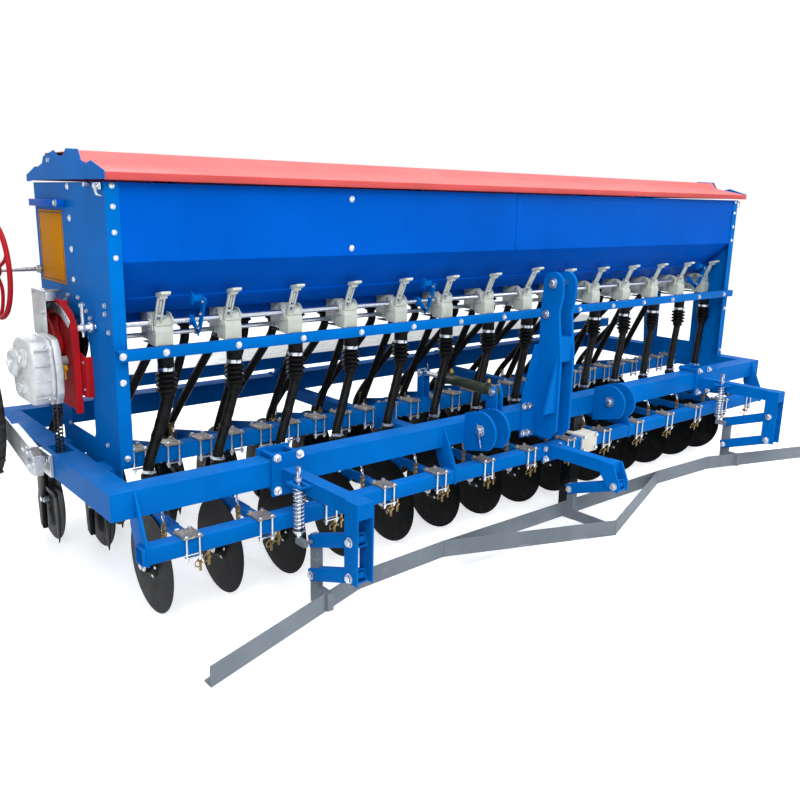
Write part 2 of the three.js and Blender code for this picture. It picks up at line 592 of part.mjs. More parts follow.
// ---- hydraulic cylinder between a lug on the front beam and the seed bar's lift bracket -------
function liftCylinder() {
  const x = 20 - PITCH;
  const lug = plateX([
    [20, FRAME_TOP + GAP], [20, FRAME_TOP + 60], [38, FRAME_TOP + 100], [62, FRAME_TOP + 100], [92,
      FRAME_TOP + 30],
    [92, FRAME_TOP + GAP],
  ], x - 24, x - 12);
  const head = [x, 50, FRAME_TOP + 76];
  const barrelEnd = [x, 400, FRAME_TOP + 96];
  const pieces = [
    lug,
    plateX([[20, FRAME_TOP + GAP], [20, FRAME_TOP + 60], [38, FRAME_TOP + 100], [62, FRAME_TOP + 100],
      [92, FRAME_TOP + 30], [92, FRAME_TOP + GAP]], x + 12, x + 24),
    rod(12, [x - 34, 50, head[2]], [x + 34, 50, head[2]]),
    rod(24, [x, 90, FRAME_TOP + 78], barrelEnd, 12),
    rod(11, head, [x, 95, FRAME_TOP + 78], 7),
    rod(11, barrelEnd, [x, 580, FRAME_TOP + 106], 7),
    box(x - 16, x + 16, 560, 603, SEED_BAR_TOP + GAP, FRAME_TOP + 124),
  ];
  return join(pieces);
}

// ---- leveller -----------------------------------------------------------------------------
const SIDE_PIVOT_Y = -470;
const CENTRE_PIVOT_Y = -500;
const CENTRE_PIVOT_Z = 350;
const linkReach = Math.sqrt(LINK_LEN ** 2 - LINK_DROP ** 2);
const SPRING_X = -56; // of the spring's rod from the arm's middle
const SPRING_Y = SIDE_PIVOT_Y + linkReach + 35;
const SPRING_R = 22;
const TAB_T = 8; // plate on the arm that the spring pushes against
const SPRING_SEAT = 404; // top of the collar that carries the spring

function levellerSideArm(side) {
  const x = side * LEVELLER_X;
  const h = LEVELLER_ARM / 2;
  const arm = box(x - h, x + h, -LEVELLER_REACH, -10, LEVELLER_ARM_TOP - LEVELLER_ARM, LEVELLER_ARM_TOP);
  const front = box(x - 75, x + 75, -12.5, -GAP, FRAME_BOTTOM - 40, FRAME_TOP + 30);
  const rear = box(x - 75, x + 75, BEAM + GAP, BEAM + 10, FRAME_BOTTOM - 40, FRAME_TOP + 30);
  const bolt = (dx, z) => box(x + dx - 8, x + dx + 8, -22, BEAM + 20, z - 8, z + 8);
  const bolts = [[-52, FRAME_TOP + 14], [52, FRAME_TOP + 14], [-52, FRAME_BOTTOM - 18], [52,
    FRAME_BOTTOM - 18]];
  const cheek = (x0) => box(x0, x0 + CHANNEL_PLATE, -LEVELLER_REACH, SIDE_PIVOT_Y + 34, CHANNEL_BOTTOM,
    LEVELLER_ARM_TOP);
  const pin = (z) => rod(PIVOT_R, [x - h - 22, SIDE_PIVOT_Y, z], [x + h + 22, SIDE_PIVOT_Y, z], 8);
  const tabTop = LEVELLER_ARM_TOP - 10;
  const tab = box(x + SPRING_X - 30, x - h + 1, SPRING_Y - 52, SPRING_Y + 40, tabTop - TAB_T, tabTop);
  const eye = box(x + SPRING_X - 11, x + SPRING_X + 11, SPRING_Y - 44, SPRING_Y + 32, tabTop - TAB_T - 1,
    tabTop + 1);
  return cut(join([arm, front, rear, tab, cheek(x - h - CHANNEL_PLATE), cheek(x + h), pin(UPPER_PIVOT_Z),
    pin(LOWER_PIVOT_Z),
    ...bolts.map(([dx, z]) => bolt(dx, z))]), [eye]);
}

// the coil around the rod, drawn as the sleeve it fills
function levellerSpring(side) {
  const x = side * LEVELLER_X + SPRING_X;
  const z = [SPRING_SEAT + GAP, LEVELLER_ARM_TOP - 10 - TAB_T - GAP];
  return rod(SPRING_R, [x, SPRING_Y, z[0]], [x, SPRING_Y, z[1]], 12)
    .subtract(rod(SPRING_R - 7, [x, SPRING_Y, z[0] - 1], [x, SPRING_Y, z[1] + 1], 12));
}

function levellerLink(x, y, z) {
  const body = box(x - LINK_W / 2, x + LINK_W / 2, -20, LINK_LEN + 20, -LINK_H / 2, LINK_H / 2);
  const slot = box(x - LINK_W / 2 + LINK_FORK, x + LINK_W / 2 - LINK_FORK, LINK_LEN - 52, LINK_LEN + 21,
    -40, 40);
  const bore = (yy) => rod(PIVOT_R + PIVOT_CLEAR, [x - 60, yy, 0], [x + 60, yy, 0], 12);
  const angle = (-Math.asin(LINK_DROP / LINK_LEN) * 180) / Math.PI;
  return cut(body, [slot, bore(0), bore(LINK_LEN)]).rotate([angle, 0, 0]).translate([0, y, z]);
}

function strip(points, width) {
  return [...points, ...points.map(([x, y]) => [x, y + width]).reverse()];
}

function levellerBlade() {
  const z0 = BLADE_BOTTOM;
  const wing = [[-BLADE_HALF, -484], [200 - LEVELLER_X, -217], [-820, -193]];
  const nose = [[-820, -193], [0, -506], [820, -193]];
  const mirrored = (line) => line.map(([x, y]) => [-x, y]).reverse();
  const upright = (line) => plateZ(strip(line, BLADE_T), z0, z0 + BLADE_H);
  const angle = (line) => [upright(line), plateZ(strip(line, BLADE_FLANGE), z0, z0 + BLADE_T)];
  const cross = box(-830, 830, -193, -193 + BLADE_T, z0, z0 + BLADE_H);
  const crossFlange = box(-830, 830, -193, -193 + BLADE_FLANGE, z0, z0 + BLADE_T);
  const noseBrace = box(-5, 5, -500, -190, z0, z0 + 50);
  const pieces = [...angle(wing), ...angle(mirrored(wing)), upright(nose), cross, crossFlange, noseBrace];
  const half = LINK_W / 2 - LINK_FORK - 4;
  const rearY = SIDE_PIVOT_Y + linkReach;
  const upper = UPPER_PIVOT_Z - LINK_DROP;
  const lower = LOWER_PIVOT_Z - LINK_DROP;
  for (const side of [-1, 1]) {
    const x = side * LEVELLER_X;
    pieces.push(box(x - half, x + half, rearY - 22, rearY + 22, z0 + 60, upper + 24));
    pieces.push(box(x - half, x + half, -300, rearY + 22, z0 + 2, z0 + 74));
    pieces.push(rod(PIVOT_R, [x + SPRING_X - 10, rearY, upper], [x + LINK_W / 2 + 12, rearY, upper], 8));
    pieces.push(rod(PIVOT_R, [x - LINK_W / 2 - 12, rearY, lower], [x + LINK_W / 2 + 12, rearY, lower], 8));
    pieces.push(rod(8, [x + SPRING_X, SPRING_Y, upper - 4], [x + SPRING_X, SPRING_Y,
      LEVELLER_ARM_TOP + 55], 8));
    pieces.push(rod(SPRING_R, [x + SPRING_X, SPRING_Y, SPRING_SEAT - 8], [x + SPRING_X, SPRING_Y,
      SPRING_SEAT], 10));
    pieces.push(box(x + SPRING_X - 10, x + SPRING_X + 10, rearY - 13, SPRING_Y + 10, upper - 12,
      upper + 12));
  }
  const cy = CENTRE_PIVOT_Y + linkReach;
  const cz = CENTRE_PIVOT_Z - LINK_DROP;
  pieces.push(box(-half, half, cy - 20, cy + 20, z0 + 2, cz + 22));
  pieces.push(box(-half, half, cy - 20, -190, z0 + 2, z0 + 60));
  pieces.push(rod(PIVOT_R, [-LINK_W / 2 - 12, cy, cz], [LINK_W / 2 + 12, cy, cz], 8));
  return join(pieces);
}

function levellerCentreArm() {
  const h = LEVELLER_ARM / 2;
  const z1 = FRONT_BAR_TOP + 12;
  const y0 = CENTRE_PIVOT_Y - 6;
  const arm = box(-h, h, y0 + 30, FRONT_BAR_Y - GAP, z1 - LEVELLER_ARM, z1);
  const cheekShape = [[y0 - 20, CENTRE_PIVOT_Z - 26], [y0 - 20, CENTRE_PIVOT_Z + 20], [y0 + 20, z1],
    [y0 + 90, z1],
    [y0 + 90, z1 - LEVELLER_ARM], [y0 + 36, CENTRE_PIVOT_Z - 26]];
  const cheek = (x0) => plateX(cheekShape, x0, x0 + CHANNEL_PLATE);
  const pad = box(-70, 70, FRONT_BAR_Y - 10, FRONT_BAR_Y - GAP, FRONT_BAR_BOTTOM - 12, z1);
  const pin = rod(PIVOT_R, [-h - 22, CENTRE_PIVOT_Y, CENTRE_PIVOT_Z], [h + 22, CENTRE_PIVOT_Y,
    CENTRE_PIVOT_Z], 8);
  return join([arm, cheek(-h - CHANNEL_PLATE), cheek(h), pad, pin]);
}

// ---- parking leg --------------------------------------------------------------------------
function parkingLeg() {
  const y0 = FRONT_BAR_BACK + 10;
  const foot = box(LEG_X - 55, LEG_X + 55, y0 - 8, y0 + LEG + 8, 0, 8);
  return foot.add(box(LEG_X - LEG / 2, LEG_X + LEG / 2, y0, y0 + LEG, 1, FRAME_BOTTOM - GAP));
}

function legBracket() {
  const y0 = FRONT_BAR_BACK + 10;
  const x = [LEG_X - 60, LEG_X + 60];
  const plate = box(...x, FRONT_BAR_Y - 10, FRONT_BAR_Y - GAP, FRONT_BAR_BOTTOM - 20, FRONT_BAR_TOP + 14);
  const top = box(...x, FRONT_BAR_Y - 10, y0 + LEG + GAP + 8, FRONT_BAR_TOP + GAP, FRONT_BAR_TOP + 12);
  const back = box(...x, y0 + LEG + GAP, y0 + LEG + GAP + 8, FRONT_BAR_BOTTOM, FRONT_BAR_TOP + 12);
  const hole = box(LEG_X - LEG / 2 - GAP, LEG_X + LEG / 2 + GAP, y0 - GAP, y0 + LEG + GAP,
    FRONT_BAR_BOTTOM - 30,
    FRONT_BAR_TOP + 30);
  return cut(join([plate, top, back]), [hole]);
}

// ---- drive on the left-hand end -----------------------------------------------------------
const QUADRANT = [
  [506, 800], [506, 1130], [560, 1190], [640, 1222], [740, 1222], [830, 1180], [880, 1110], [880, 900],
    [800, 800],
];

function gearQuadrant() {
  const x1 = HOPPER_LEFT - 30;
  const plate = plateX(QUADRANT, x1 - 26, x1);
  const hollow = plateX([
    [520, 780], [520, 1124], [566, 1180], [644, 1209], [736, 1209], [822, 1170], [867, 1106], [867, 905],
      [796, 780],
  ], x1 - 30, x1 - 8);
  const stay = (y, z) => rod(9, [x1 - 4, y, z], [HOPPER_LEFT - GAP, y, z], 8);
  const lever = rod(6, [x1 - 4, 690, 1000], [x1 - 34, 760, 1150], 8);
  const knob = rod(14, [x1 - 34, 758, 1146], [x1 - 40, 766, 1180], 10);
  const whole = join([plate.subtract(hollow), lever, knob, stay(840, 1150), stay(800, 860), stay(840,
    1020), stay(700, 1205)]);
  return whole.translate([0, 0, DRIVE_RISE]);
}

function driveGuard() {
  return cut(box(HOPPER_LEFT - 28, HOPPER_LEFT - GAP, 420, 500, 868, 1042), [
    box(HOPPER_LEFT - 24, HOPPER_LEFT - 4, 424, 496, 860, 1038),
  ]).translate([0, 0, DRIVE_RISE]);
}

const GEARBOX = [HOPPER_LEFT - 230, HOPPER_LEFT - 110];

function gearbox() {
  const profile = [
    [470, 880], [455, 960], [475, 1070], [520, 1105], [640, 1105], [715, 1040], [715, 930], [700, 860],
      [500, 850],
  ];
  const body = plateX(profile, ...GEARBOX);
  const bulge = (y, z, r, depth) => rod(r, [GEARBOX[0] - depth, y, z], [GEARBOX[0] + 10, y, z], 16);
  const neck = rod(20, [GEARBOX[1] - 4, 640, 985], [HOPPER_LEFT - 38 - GAP, 640, 985], 12);
  const drive = rod(AXLE_R, [GEARBOX[1] - 4, CHAIN_Y, 900], [CHAIN_X + 14, CHAIN_Y, 900], 12);
  const whole = join([body, bulge(640, 1000, 52, 26), bulge(540, 1030, 34, 18), bulge(560, 920, 26, 14),
    neck, drive]);
  return whole.translate([0, 0, DRIVE_RISE]);
}

function gearboxBracket() {
  const x = [HOPPER_LEFT - 143, HOPPER_LEFT - GAP];
  const shell = box(...x, 520, 676, 1232, 1292);
  return cut(shell, [box(x[0] + 4, x[1] - 4, 510, 672, 1228, 1288)]).translate([0, 0, DRIVE_RISE]);
}

// roller chain down from the gearbox through the slot in the side beam
function driveChain() {
  const loop = (r) => {
    const shape = new THREE.Shape();
    shape.absarc(CHAIN_Y, CHAIN_HIGH_Z, r, 0, Math.PI, false);
    shape.absarc(CHAIN_Y, CHAIN_LOW_Z, r, Math.PI, 2 * Math.PI, false);
    shape.closePath();
    return shape;
  };
  const belt = plateX(loop(32), CHAIN_X - 8, CHAIN_X + 8, 4).subtract(plateX(loop(22), CHAIN_X - 9,
    CHAIN_X + 9, 4));
  const sprocket = (z) => rod(24, [CHAIN_X - 6, CHAIN_Y, z], [CHAIN_X + 6, CHAIN_Y, z], 8);
  const bore = (z) => rod(AXLE_R + AXLE_CLEAR, [CHAIN_X - 9, CHAIN_Y, z], [CHAIN_X + 9, CHAIN_Y, z], 12);
  return cut(join([belt, sprocket(CHAIN_HIGH_Z), sprocket(CHAIN_LOW_Z)]), [bore(CHAIN_HIGH_Z),
    bore(CHAIN_LOW_Z)]);
}

const WHEEL_ARM_X = -FRAME_HALF - 70;

function wheelArm() {
  const x0 = WHEEL_ARM_X;
  const shape = [
    [600, 548], [600, 628], [640, 656], [1180, WHEEL_Z + 44], [WHEEL_Y + 40, WHEEL_Z + 44],
      [WHEEL_Y + 40, WHEEL_Z - 40],
    [1180, WHEEL_Z - 44], [660, 544],
  ];
  const web = plateX([[600, 548], [600, 628], [640, 656], [900, 694], [900, 606], [660, 544]], x0, x0 + 34);
  const pivot = rod(20, [-FRAME_HALF - 10, CHAIN_Y, CHAIN_LOW_Z], [x0 + 10, CHAIN_Y, CHAIN_LOW_Z], 12);
  const pad = box(-FRAME_HALF - 14, -FRAME_HALF - GAP, 590, 730, FRAME_BOTTOM + 4, FRAME_TOP - 4);
  const drive = rod(AXLE_R, [-FRAME_HALF - 10, CHAIN_Y, CHAIN_LOW_Z], [CHAIN_X + 14, CHAIN_Y,
    CHAIN_LOW_Z], 12);
  const axle = rod(15, [WHEEL_X - WHEEL_W / 2 - 20, WHEEL_Y, WHEEL_Z], [x0 + 5, WHEEL_Y, WHEEL_Z], 12);
  return join([plateX(shape, x0, x0 + 6), web, pivot, pad, drive, axle]);
}

function groundTyre() {
  const w = WHEEL_W / 2;
  const r = WHEEL_R;
  const profile = [[r - 72, -w + 14], [r - 30, -w], [r, -w + 22], [r, w - 22], [r - 30, w], [r - 72,
    w - 14],
    [r - 72, -w + 14]];
  return turnedX(profile, WHEEL_X, WHEEL_Y, WHEEL_Z, 20);
}

function groundRim() {
  const w = WHEEL_W / 2 - 16;
  const outer = WHEEL_R - 72 - GAP;
  const bore = 15 + AXLE_CLEAR;
  const profile = [[bore, -34], [38, -34], [38, -5], [outer - 14, -5], [outer - 14, -w], [outer, -w],
    [outer, w],
    [outer - 14, w], [outer - 14, 5], [bore, 5], [bore, -34]];
  return turnedX(profile, WHEEL_X, WHEEL_Y, WHEEL_Z, 20);
}

function platform() {
  const x = SIDE_INNER - 40;
  const deck = box(-x, x, PLATFORM_Y, PLATFORM_Y + PLATFORM_DEPTH, PLATFORM_Z - 5, PLATFORM_Z);
  const edge = (y) => box(-x, x, y, y + 6, PLATFORM_Z - 60, PLATFORM_Z - 4);
  const post = (px) => box(px - 30, px + 30, REAR_BEAM_Y + 15, REAR_BEAM_Y + 75, FRAME_TOP + 1,
    PLATFORM_Z - 4);
  const foot = (px) => box(px - 60, px + 60, REAR_BEAM_Y + 2, REAR_BEAM_Y + 90, FRAME_TOP + GAP,
    FRAME_TOP + 8);
  const posts = [-x + 165, -650, 650, x - 165];
  return join([deck, edge(PLATFORM_Y), edge(PLATFORM_Y + PLATFORM_DEPTH - 6), ...posts.map(post),
    ...posts.map(foot)]);
}

function handWheel() {
  const y = 985;
  const z = HOPPER_TOP - 368;
  const r = HAND_WHEEL_R;
  const ring = [[r - 12, 0], [r, -11], [r + 12, 0], [r, 11], [r - 12, 0]];
  const rim = turnedX(ring, HAND_WHEEL_X, y, z, 20);
  const spokes = [0, 1, 2].map((k) => {
    const a = (2 * Math.PI * k) / 3 + 0.5;
    return rod(7, [HAND_WHEEL_X, y, z], [HAND_WHEEL_X, y + r * Math.cos(a), z + r * Math.sin(a)], 6);
  });
  const hub = rod(24, [HAND_WHEEL_X - 16, y, z], [HAND_WHEEL_X + 16, y, z], 12);
  const shaft = rod(9, [HAND_WHEEL_X, y, z], [HOPPER_LEFT - GAP, y, z], 8);
  return join([rim, ...spokes, hub, shaft]);
}

// ---- assembly -----------------------------------------------------------------------------
part("main_frame", mainFrame(), BLUE);
part("front_tool_bar", frontToolBar(), BLUE);
part("seed_tool_bar", seedToolBar(), BLUE);
part("hopper_body", hopperBody(), BLUE);
part("hopper_end_left", endPlate(true), BLUE);
part("hopper_end_right", endPlate(false), BLUE);
part("hopper_lid", lid(), LID_RED);
part("lid_cap_left", lidCap(true), BLUE);
part("lid_cap_right", lidCap(false), BLUE);
part("fertiliser_meters", fertiliserMeters(), METER_GREY);
part("adjusting_shaft", adjustingShaft(), BLUE);
part("seed_meters", seedMeters(), RUBBER);
part("tube_rail", tubeRail(), BLUE);
part("mast", mast(), BLUE);
part("hitch_clevis_left", hitchClevis(-1), BLUE);
part("hitch_clevis_right", hitchClevis(1), BLUE);
part("lift_cylinder", liftCylinder(), OLIVE);
runs.forEach((i) => part(`front_disc_${i + 1}`, frontDisc(runX(i)), STEEL));
for (const [side, word] of [[-1, "left"], [1, "right"]]) {
  part(`leveller_arm_${word}`, levellerSideArm(side), BLUE);
  part(`leveller_spring_${word}`, levellerSpring(side), ZINC);
}
part("leveller_arm_centre", levellerCentreArm(), BLUE);
for (const [side, word] of [[-1, "left"], [1, "right"]]) {
  const x = side * LEVELLER_X;
  part(`leveller_upper_link_${word}`, levellerLink(x, SIDE_PIVOT_Y, UPPER_PIVOT_Z), BLUE);
  part(`leveller_lower_link_${word}`, levellerLink(x, SIDE_PIVOT_Y, LOWER_PIVOT_Z), BLUE);
}
part("leveller_link_centre", levellerLink(0, CENTRE_PIVOT_Y, CENTRE_PIVOT_Z), BLUE);
part("leveller_blade", levellerBlade(), GREY);
part("parking_leg", parkingLeg(), GREY);
part("parking_leg_bracket", legBracket(), PALE_GREY);
part("gear_quadrant", gearQuadrant(), RED);
part("drive_guard", driveGuard(), RED);
part("gearbox", gearbox(), PALE_GREY);
part("gearbox_bracket", gearboxBracket(), GREY);
part("drive_chain", driveChain(), STEEL);
part("wheel_arm", wheelArm(), PALE_GREY);
part("ground_tyre", groundTyre(), RUBBER);
part("ground_rim", groundRim(), ZINC);
part("platform", platform(), ZINC);
part("hand_wheel", handWheel(), RED);

const bounds = new THREE.Box3().setFromObject(machine);
const middle = bounds.getCenter(new THREE.Vector3());
machine.position.set(-middle.x, -middle.y, -bounds.min.z);
machine.updateMatrixWorld(true);

export default machine;
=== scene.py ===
"""Looks of a fourteen-run seed and fertiliser drill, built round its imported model.

Sizes are in the drill's own millimetres: x to its right-hand end, y to its rear, z up, with the origin on the
ground under the middle of the front beam's front face.
"""

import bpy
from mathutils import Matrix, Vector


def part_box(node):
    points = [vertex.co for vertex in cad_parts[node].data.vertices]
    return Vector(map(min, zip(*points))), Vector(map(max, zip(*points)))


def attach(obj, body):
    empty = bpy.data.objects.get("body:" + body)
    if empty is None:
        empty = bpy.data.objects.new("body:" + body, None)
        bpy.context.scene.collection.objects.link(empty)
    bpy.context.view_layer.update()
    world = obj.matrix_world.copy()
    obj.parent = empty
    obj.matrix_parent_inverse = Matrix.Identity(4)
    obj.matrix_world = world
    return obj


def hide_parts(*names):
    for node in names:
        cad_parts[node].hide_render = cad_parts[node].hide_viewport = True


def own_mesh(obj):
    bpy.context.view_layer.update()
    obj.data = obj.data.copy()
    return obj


bl_info = {
    "name": "Seed Drill Looks",
    "version": (1, 0, 0),
    "blender": (4, 5, 0),
    "location": "View3D > Sidebar > Seed Drill",
    "description": "Builds the detailed surfaces, fasteners and finishes of a mounted seed drill",
    "category": "Add Mesh",
}

import math

import bmesh
import bpy
from mathutils import Matrix, Quaternion, Vector

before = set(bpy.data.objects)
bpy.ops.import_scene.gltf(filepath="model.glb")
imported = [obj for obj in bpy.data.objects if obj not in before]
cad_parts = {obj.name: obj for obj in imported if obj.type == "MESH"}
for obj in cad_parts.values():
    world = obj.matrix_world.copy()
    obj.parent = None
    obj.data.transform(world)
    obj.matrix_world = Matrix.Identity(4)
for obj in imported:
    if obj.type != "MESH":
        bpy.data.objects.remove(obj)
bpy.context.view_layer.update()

# ---- the drill's own frame ------------------------------------------------------------------
MM = 0.001
FRAME_LOW, FRAME_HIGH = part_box("main_frame")
ORIGIN = Vector(((FRAME_LOW.x + FRAME_HIGH.x) / 2, FRAME_LOW.y, 0.0))
TO_ROW = Matrix.Translation(ORIGIN) @ Matrix.Scale(MM, 4)


def span(node):
    """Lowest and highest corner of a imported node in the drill's millimetres."""
    low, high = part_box(node)
    return (low - ORIGIN) / MM, (high - ORIGIN) / MM


RUNS = 14
RUN_NODES = [f"front_disc_{i + 1}" for i in range(RUNS)]
DISC_SPANS = [span(name) for name in RUN_NODES]
DISC_R = (DISC_SPANS[0][1].z - DISC_SPANS[0][0].z) / 2
DISC_Y = (DISC_SPANS[0][1].y + DISC_SPANS[0][0].y) / 2
PITCH = (DISC_SPANS[-1][0].x - DISC_SPANS[0][0].x) / (RUNS - 1)
RUN_X = [(i - (RUNS - 1) / 2) * PITCH for i in range(RUNS)]
METER_X = [x + 0.45 * PITCH for x in RUN_X]
SEED_X = [(k - (2 * RUNS - 1) / 2) * PITCH / 2 for k in range(2 * RUNS)]

FRAME_HALF, _, FRAME_TOP = span("main_frame")[1]
BEAM = 100
HOPPER_LEFT = span("hopper_end_left")[0].x
HOPPER_RIGHT = span("hopper_end_right")[1].x
HOPPER_FRONT = 238
HOPPER_TOP = span("hopper_end_left")[1].z
HOPPER_FLOOR = HOPPER_TOP - 488
HOPPER_FOLD = HOPPER_FLOOR + 213
FRONT_BAR = 65
FRONT_BAR_TOP = 443
FRONT_BAR_Y = -85
FRONT_BAR_HALF = FRAME_HALF - 70
SEED_BAR = 70
SEED_BAR_TOP = 595
SEED_BAR_Y = 545
METER_BASE = HOPPER_FLOOR - 127
SHAFT_Y = 410
SHAFT_Z = METER_BASE + 93
RAIL_Y = 196
RAIL_TOP = METER_BASE + 31
RAIL_H = 40
CHAIN_X = -FRAME_HALF + 48
CHAIN_Y = 650
LEVELLER_X = 5 * PITCH
PIVOT_Y = -470
UPPER_PIVOT_Z = 450
LOWER_PIVOT_Z = 312
LINK_LEN = 280
LINK_DROP = 91
LINK_REACH = math.sqrt(LINK_LEN**2 - LINK_DROP**2)


def rgb(code):
    """A colour written as an sRGB hex value, as linear red, green and blue."""
    values = [int(code[i : i + 2], 16) / 255 for i in (0, 2, 4)]
    return [v / 12.92 if v <= 0.04045 else ((v + 0.055) / 1.055) ** 2.4 for v in values]


def opaque(code):
    """The same, with a full alpha."""
    return tuple(rgb(code)) + (1.0,)


# ---- what a user may change ------------------------------------------------------------------
def colour(label, code, note):
    return bpy.props.FloatVectorProperty(
        name=label, description=note, subtype="COLOR", size=3, min=0.0, max=1.0, default=rgb(code)
    )


def length(label, millimetres, note):
    return bpy.props.FloatProperty(
        name=label, description=note, unit="LENGTH", min=0.0, default=millimetres * MM, precision=4
    )


class SeedDrillFinish(bpy.types.PropertyGroup):
    """Colours of the drill's paints, plastics and metals."""

    machine_blue: colour("Machine blue", "0063b2", "Gloss enamel of the frame and tool bars")
    # Hopper blue is painted shade: the frame's blue made deeper for the hopper's sheets, which carry the same enamel.
    hopper_shaded_blue: colour("Hopper blue", "0050b0", "Gloss enamel of the hopper's sheets")
    lid_red: colour("Lid red", "d36e6c", "Sun-bleached enamel on the lid")
    # Lid lip red is painted shade: the lid's red made darker on its folded front lip, which is the same enamel as the
    # lid, not fresher paint.
    lid_lip: colour("Lid lip red", "bf4f4d", "Fresher enamel on the lid's folded lip")
    signal_red: colour("Signal red", "a81c22", "Enamel of the quadrant, the guard and the hand wheel")
    leveller_grey: colour("Leveller grey", "747c83", "Satin grey of the leveller's angle iron")
    meter_plastic: colour("Meter plastic", "c3c8ba", "Moulded meter housings and levers")
    cast_metal: colour("Cast metal", "bfc1c2", "Painted casting of the gearbox")
    zinc: colour("Bright zinc", "cdd1d6", "Zinc plated bolts, shafts and U-bolts")
    yellow_zinc: colour("Yellow zinc", "8a7850", "Yellow passivated strips, springs and nuts")
    clamp_plate: colour("Clamp plate", "8d8a86", "Phosphated pressed clamp plates")
    rubber: colour("Rubber", "0d0e10", "Hoses, bellows and cones")
    disc_steel: colour("Disc steel", "101112", "Black coated opener discs")
    tyre: colour("Tyre", "121315", "Ground wheel's tyre")
    plate_orange: colour("Plate orange", "c07c0a", "Blank data plate")
    knob_yellow: colour("Knob yellow", "e9b214", "Plastic knobs and washers")


class SeedDrillSizes(bpy.types.PropertyGroup):
    """Sizes of small detail that don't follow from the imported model."""

    bolt: length("Bolt size", 12, "Thread of the frame's bolts")
    u_bolt: length("U-bolt size", 10, "Thread of the tool bars' U-bolts")
    tube_corner: length("Tube corner", 7, "Outer corner radius of square tube")
    hose: length("Fertiliser hose", 42, "Outer diameter of a fertiliser hose")
    seed_hose: length("Seed hose", 40, "Outer diameter of a seed hose")


def finish_of(name):
    return tuple(getattr(bpy.context.scene.seed_drill_finish, name)) + (1.0,)


def size_of(name):
    return getattr(bpy.context.scene.seed_drill_sizes, name) / MM


# ---- shapes ----------------------------------------------------------------------------------
def turned(axis):
    """The turn that takes z to the given direction."""
    return Vector(axis).to_track_quat("Z", "Y").to_matrix().to_4x4()


def smooth_path(points, steps):
    """Points along one smooth curve through a few given ones."""
    knots = [Vector(p) for p in points]
    knots = [knots[0] * 2 - knots[1]] + knots + [knots[-1] * 2 - knots[-2]]
    path = []
    for i in range(len(points) - 1):
        a, b, c, d = knots[i : i + 4]
        for k in range(steps):
            t = k / steps
            path.append(
                0.5 * (2 * b + (c - a) * t + (2 * a - 5 * b + 4 * c - d) * t**2 + (3 * b - a - 3 * c + d) * t**3)
            )
    return path + [Vector(points[-1])]


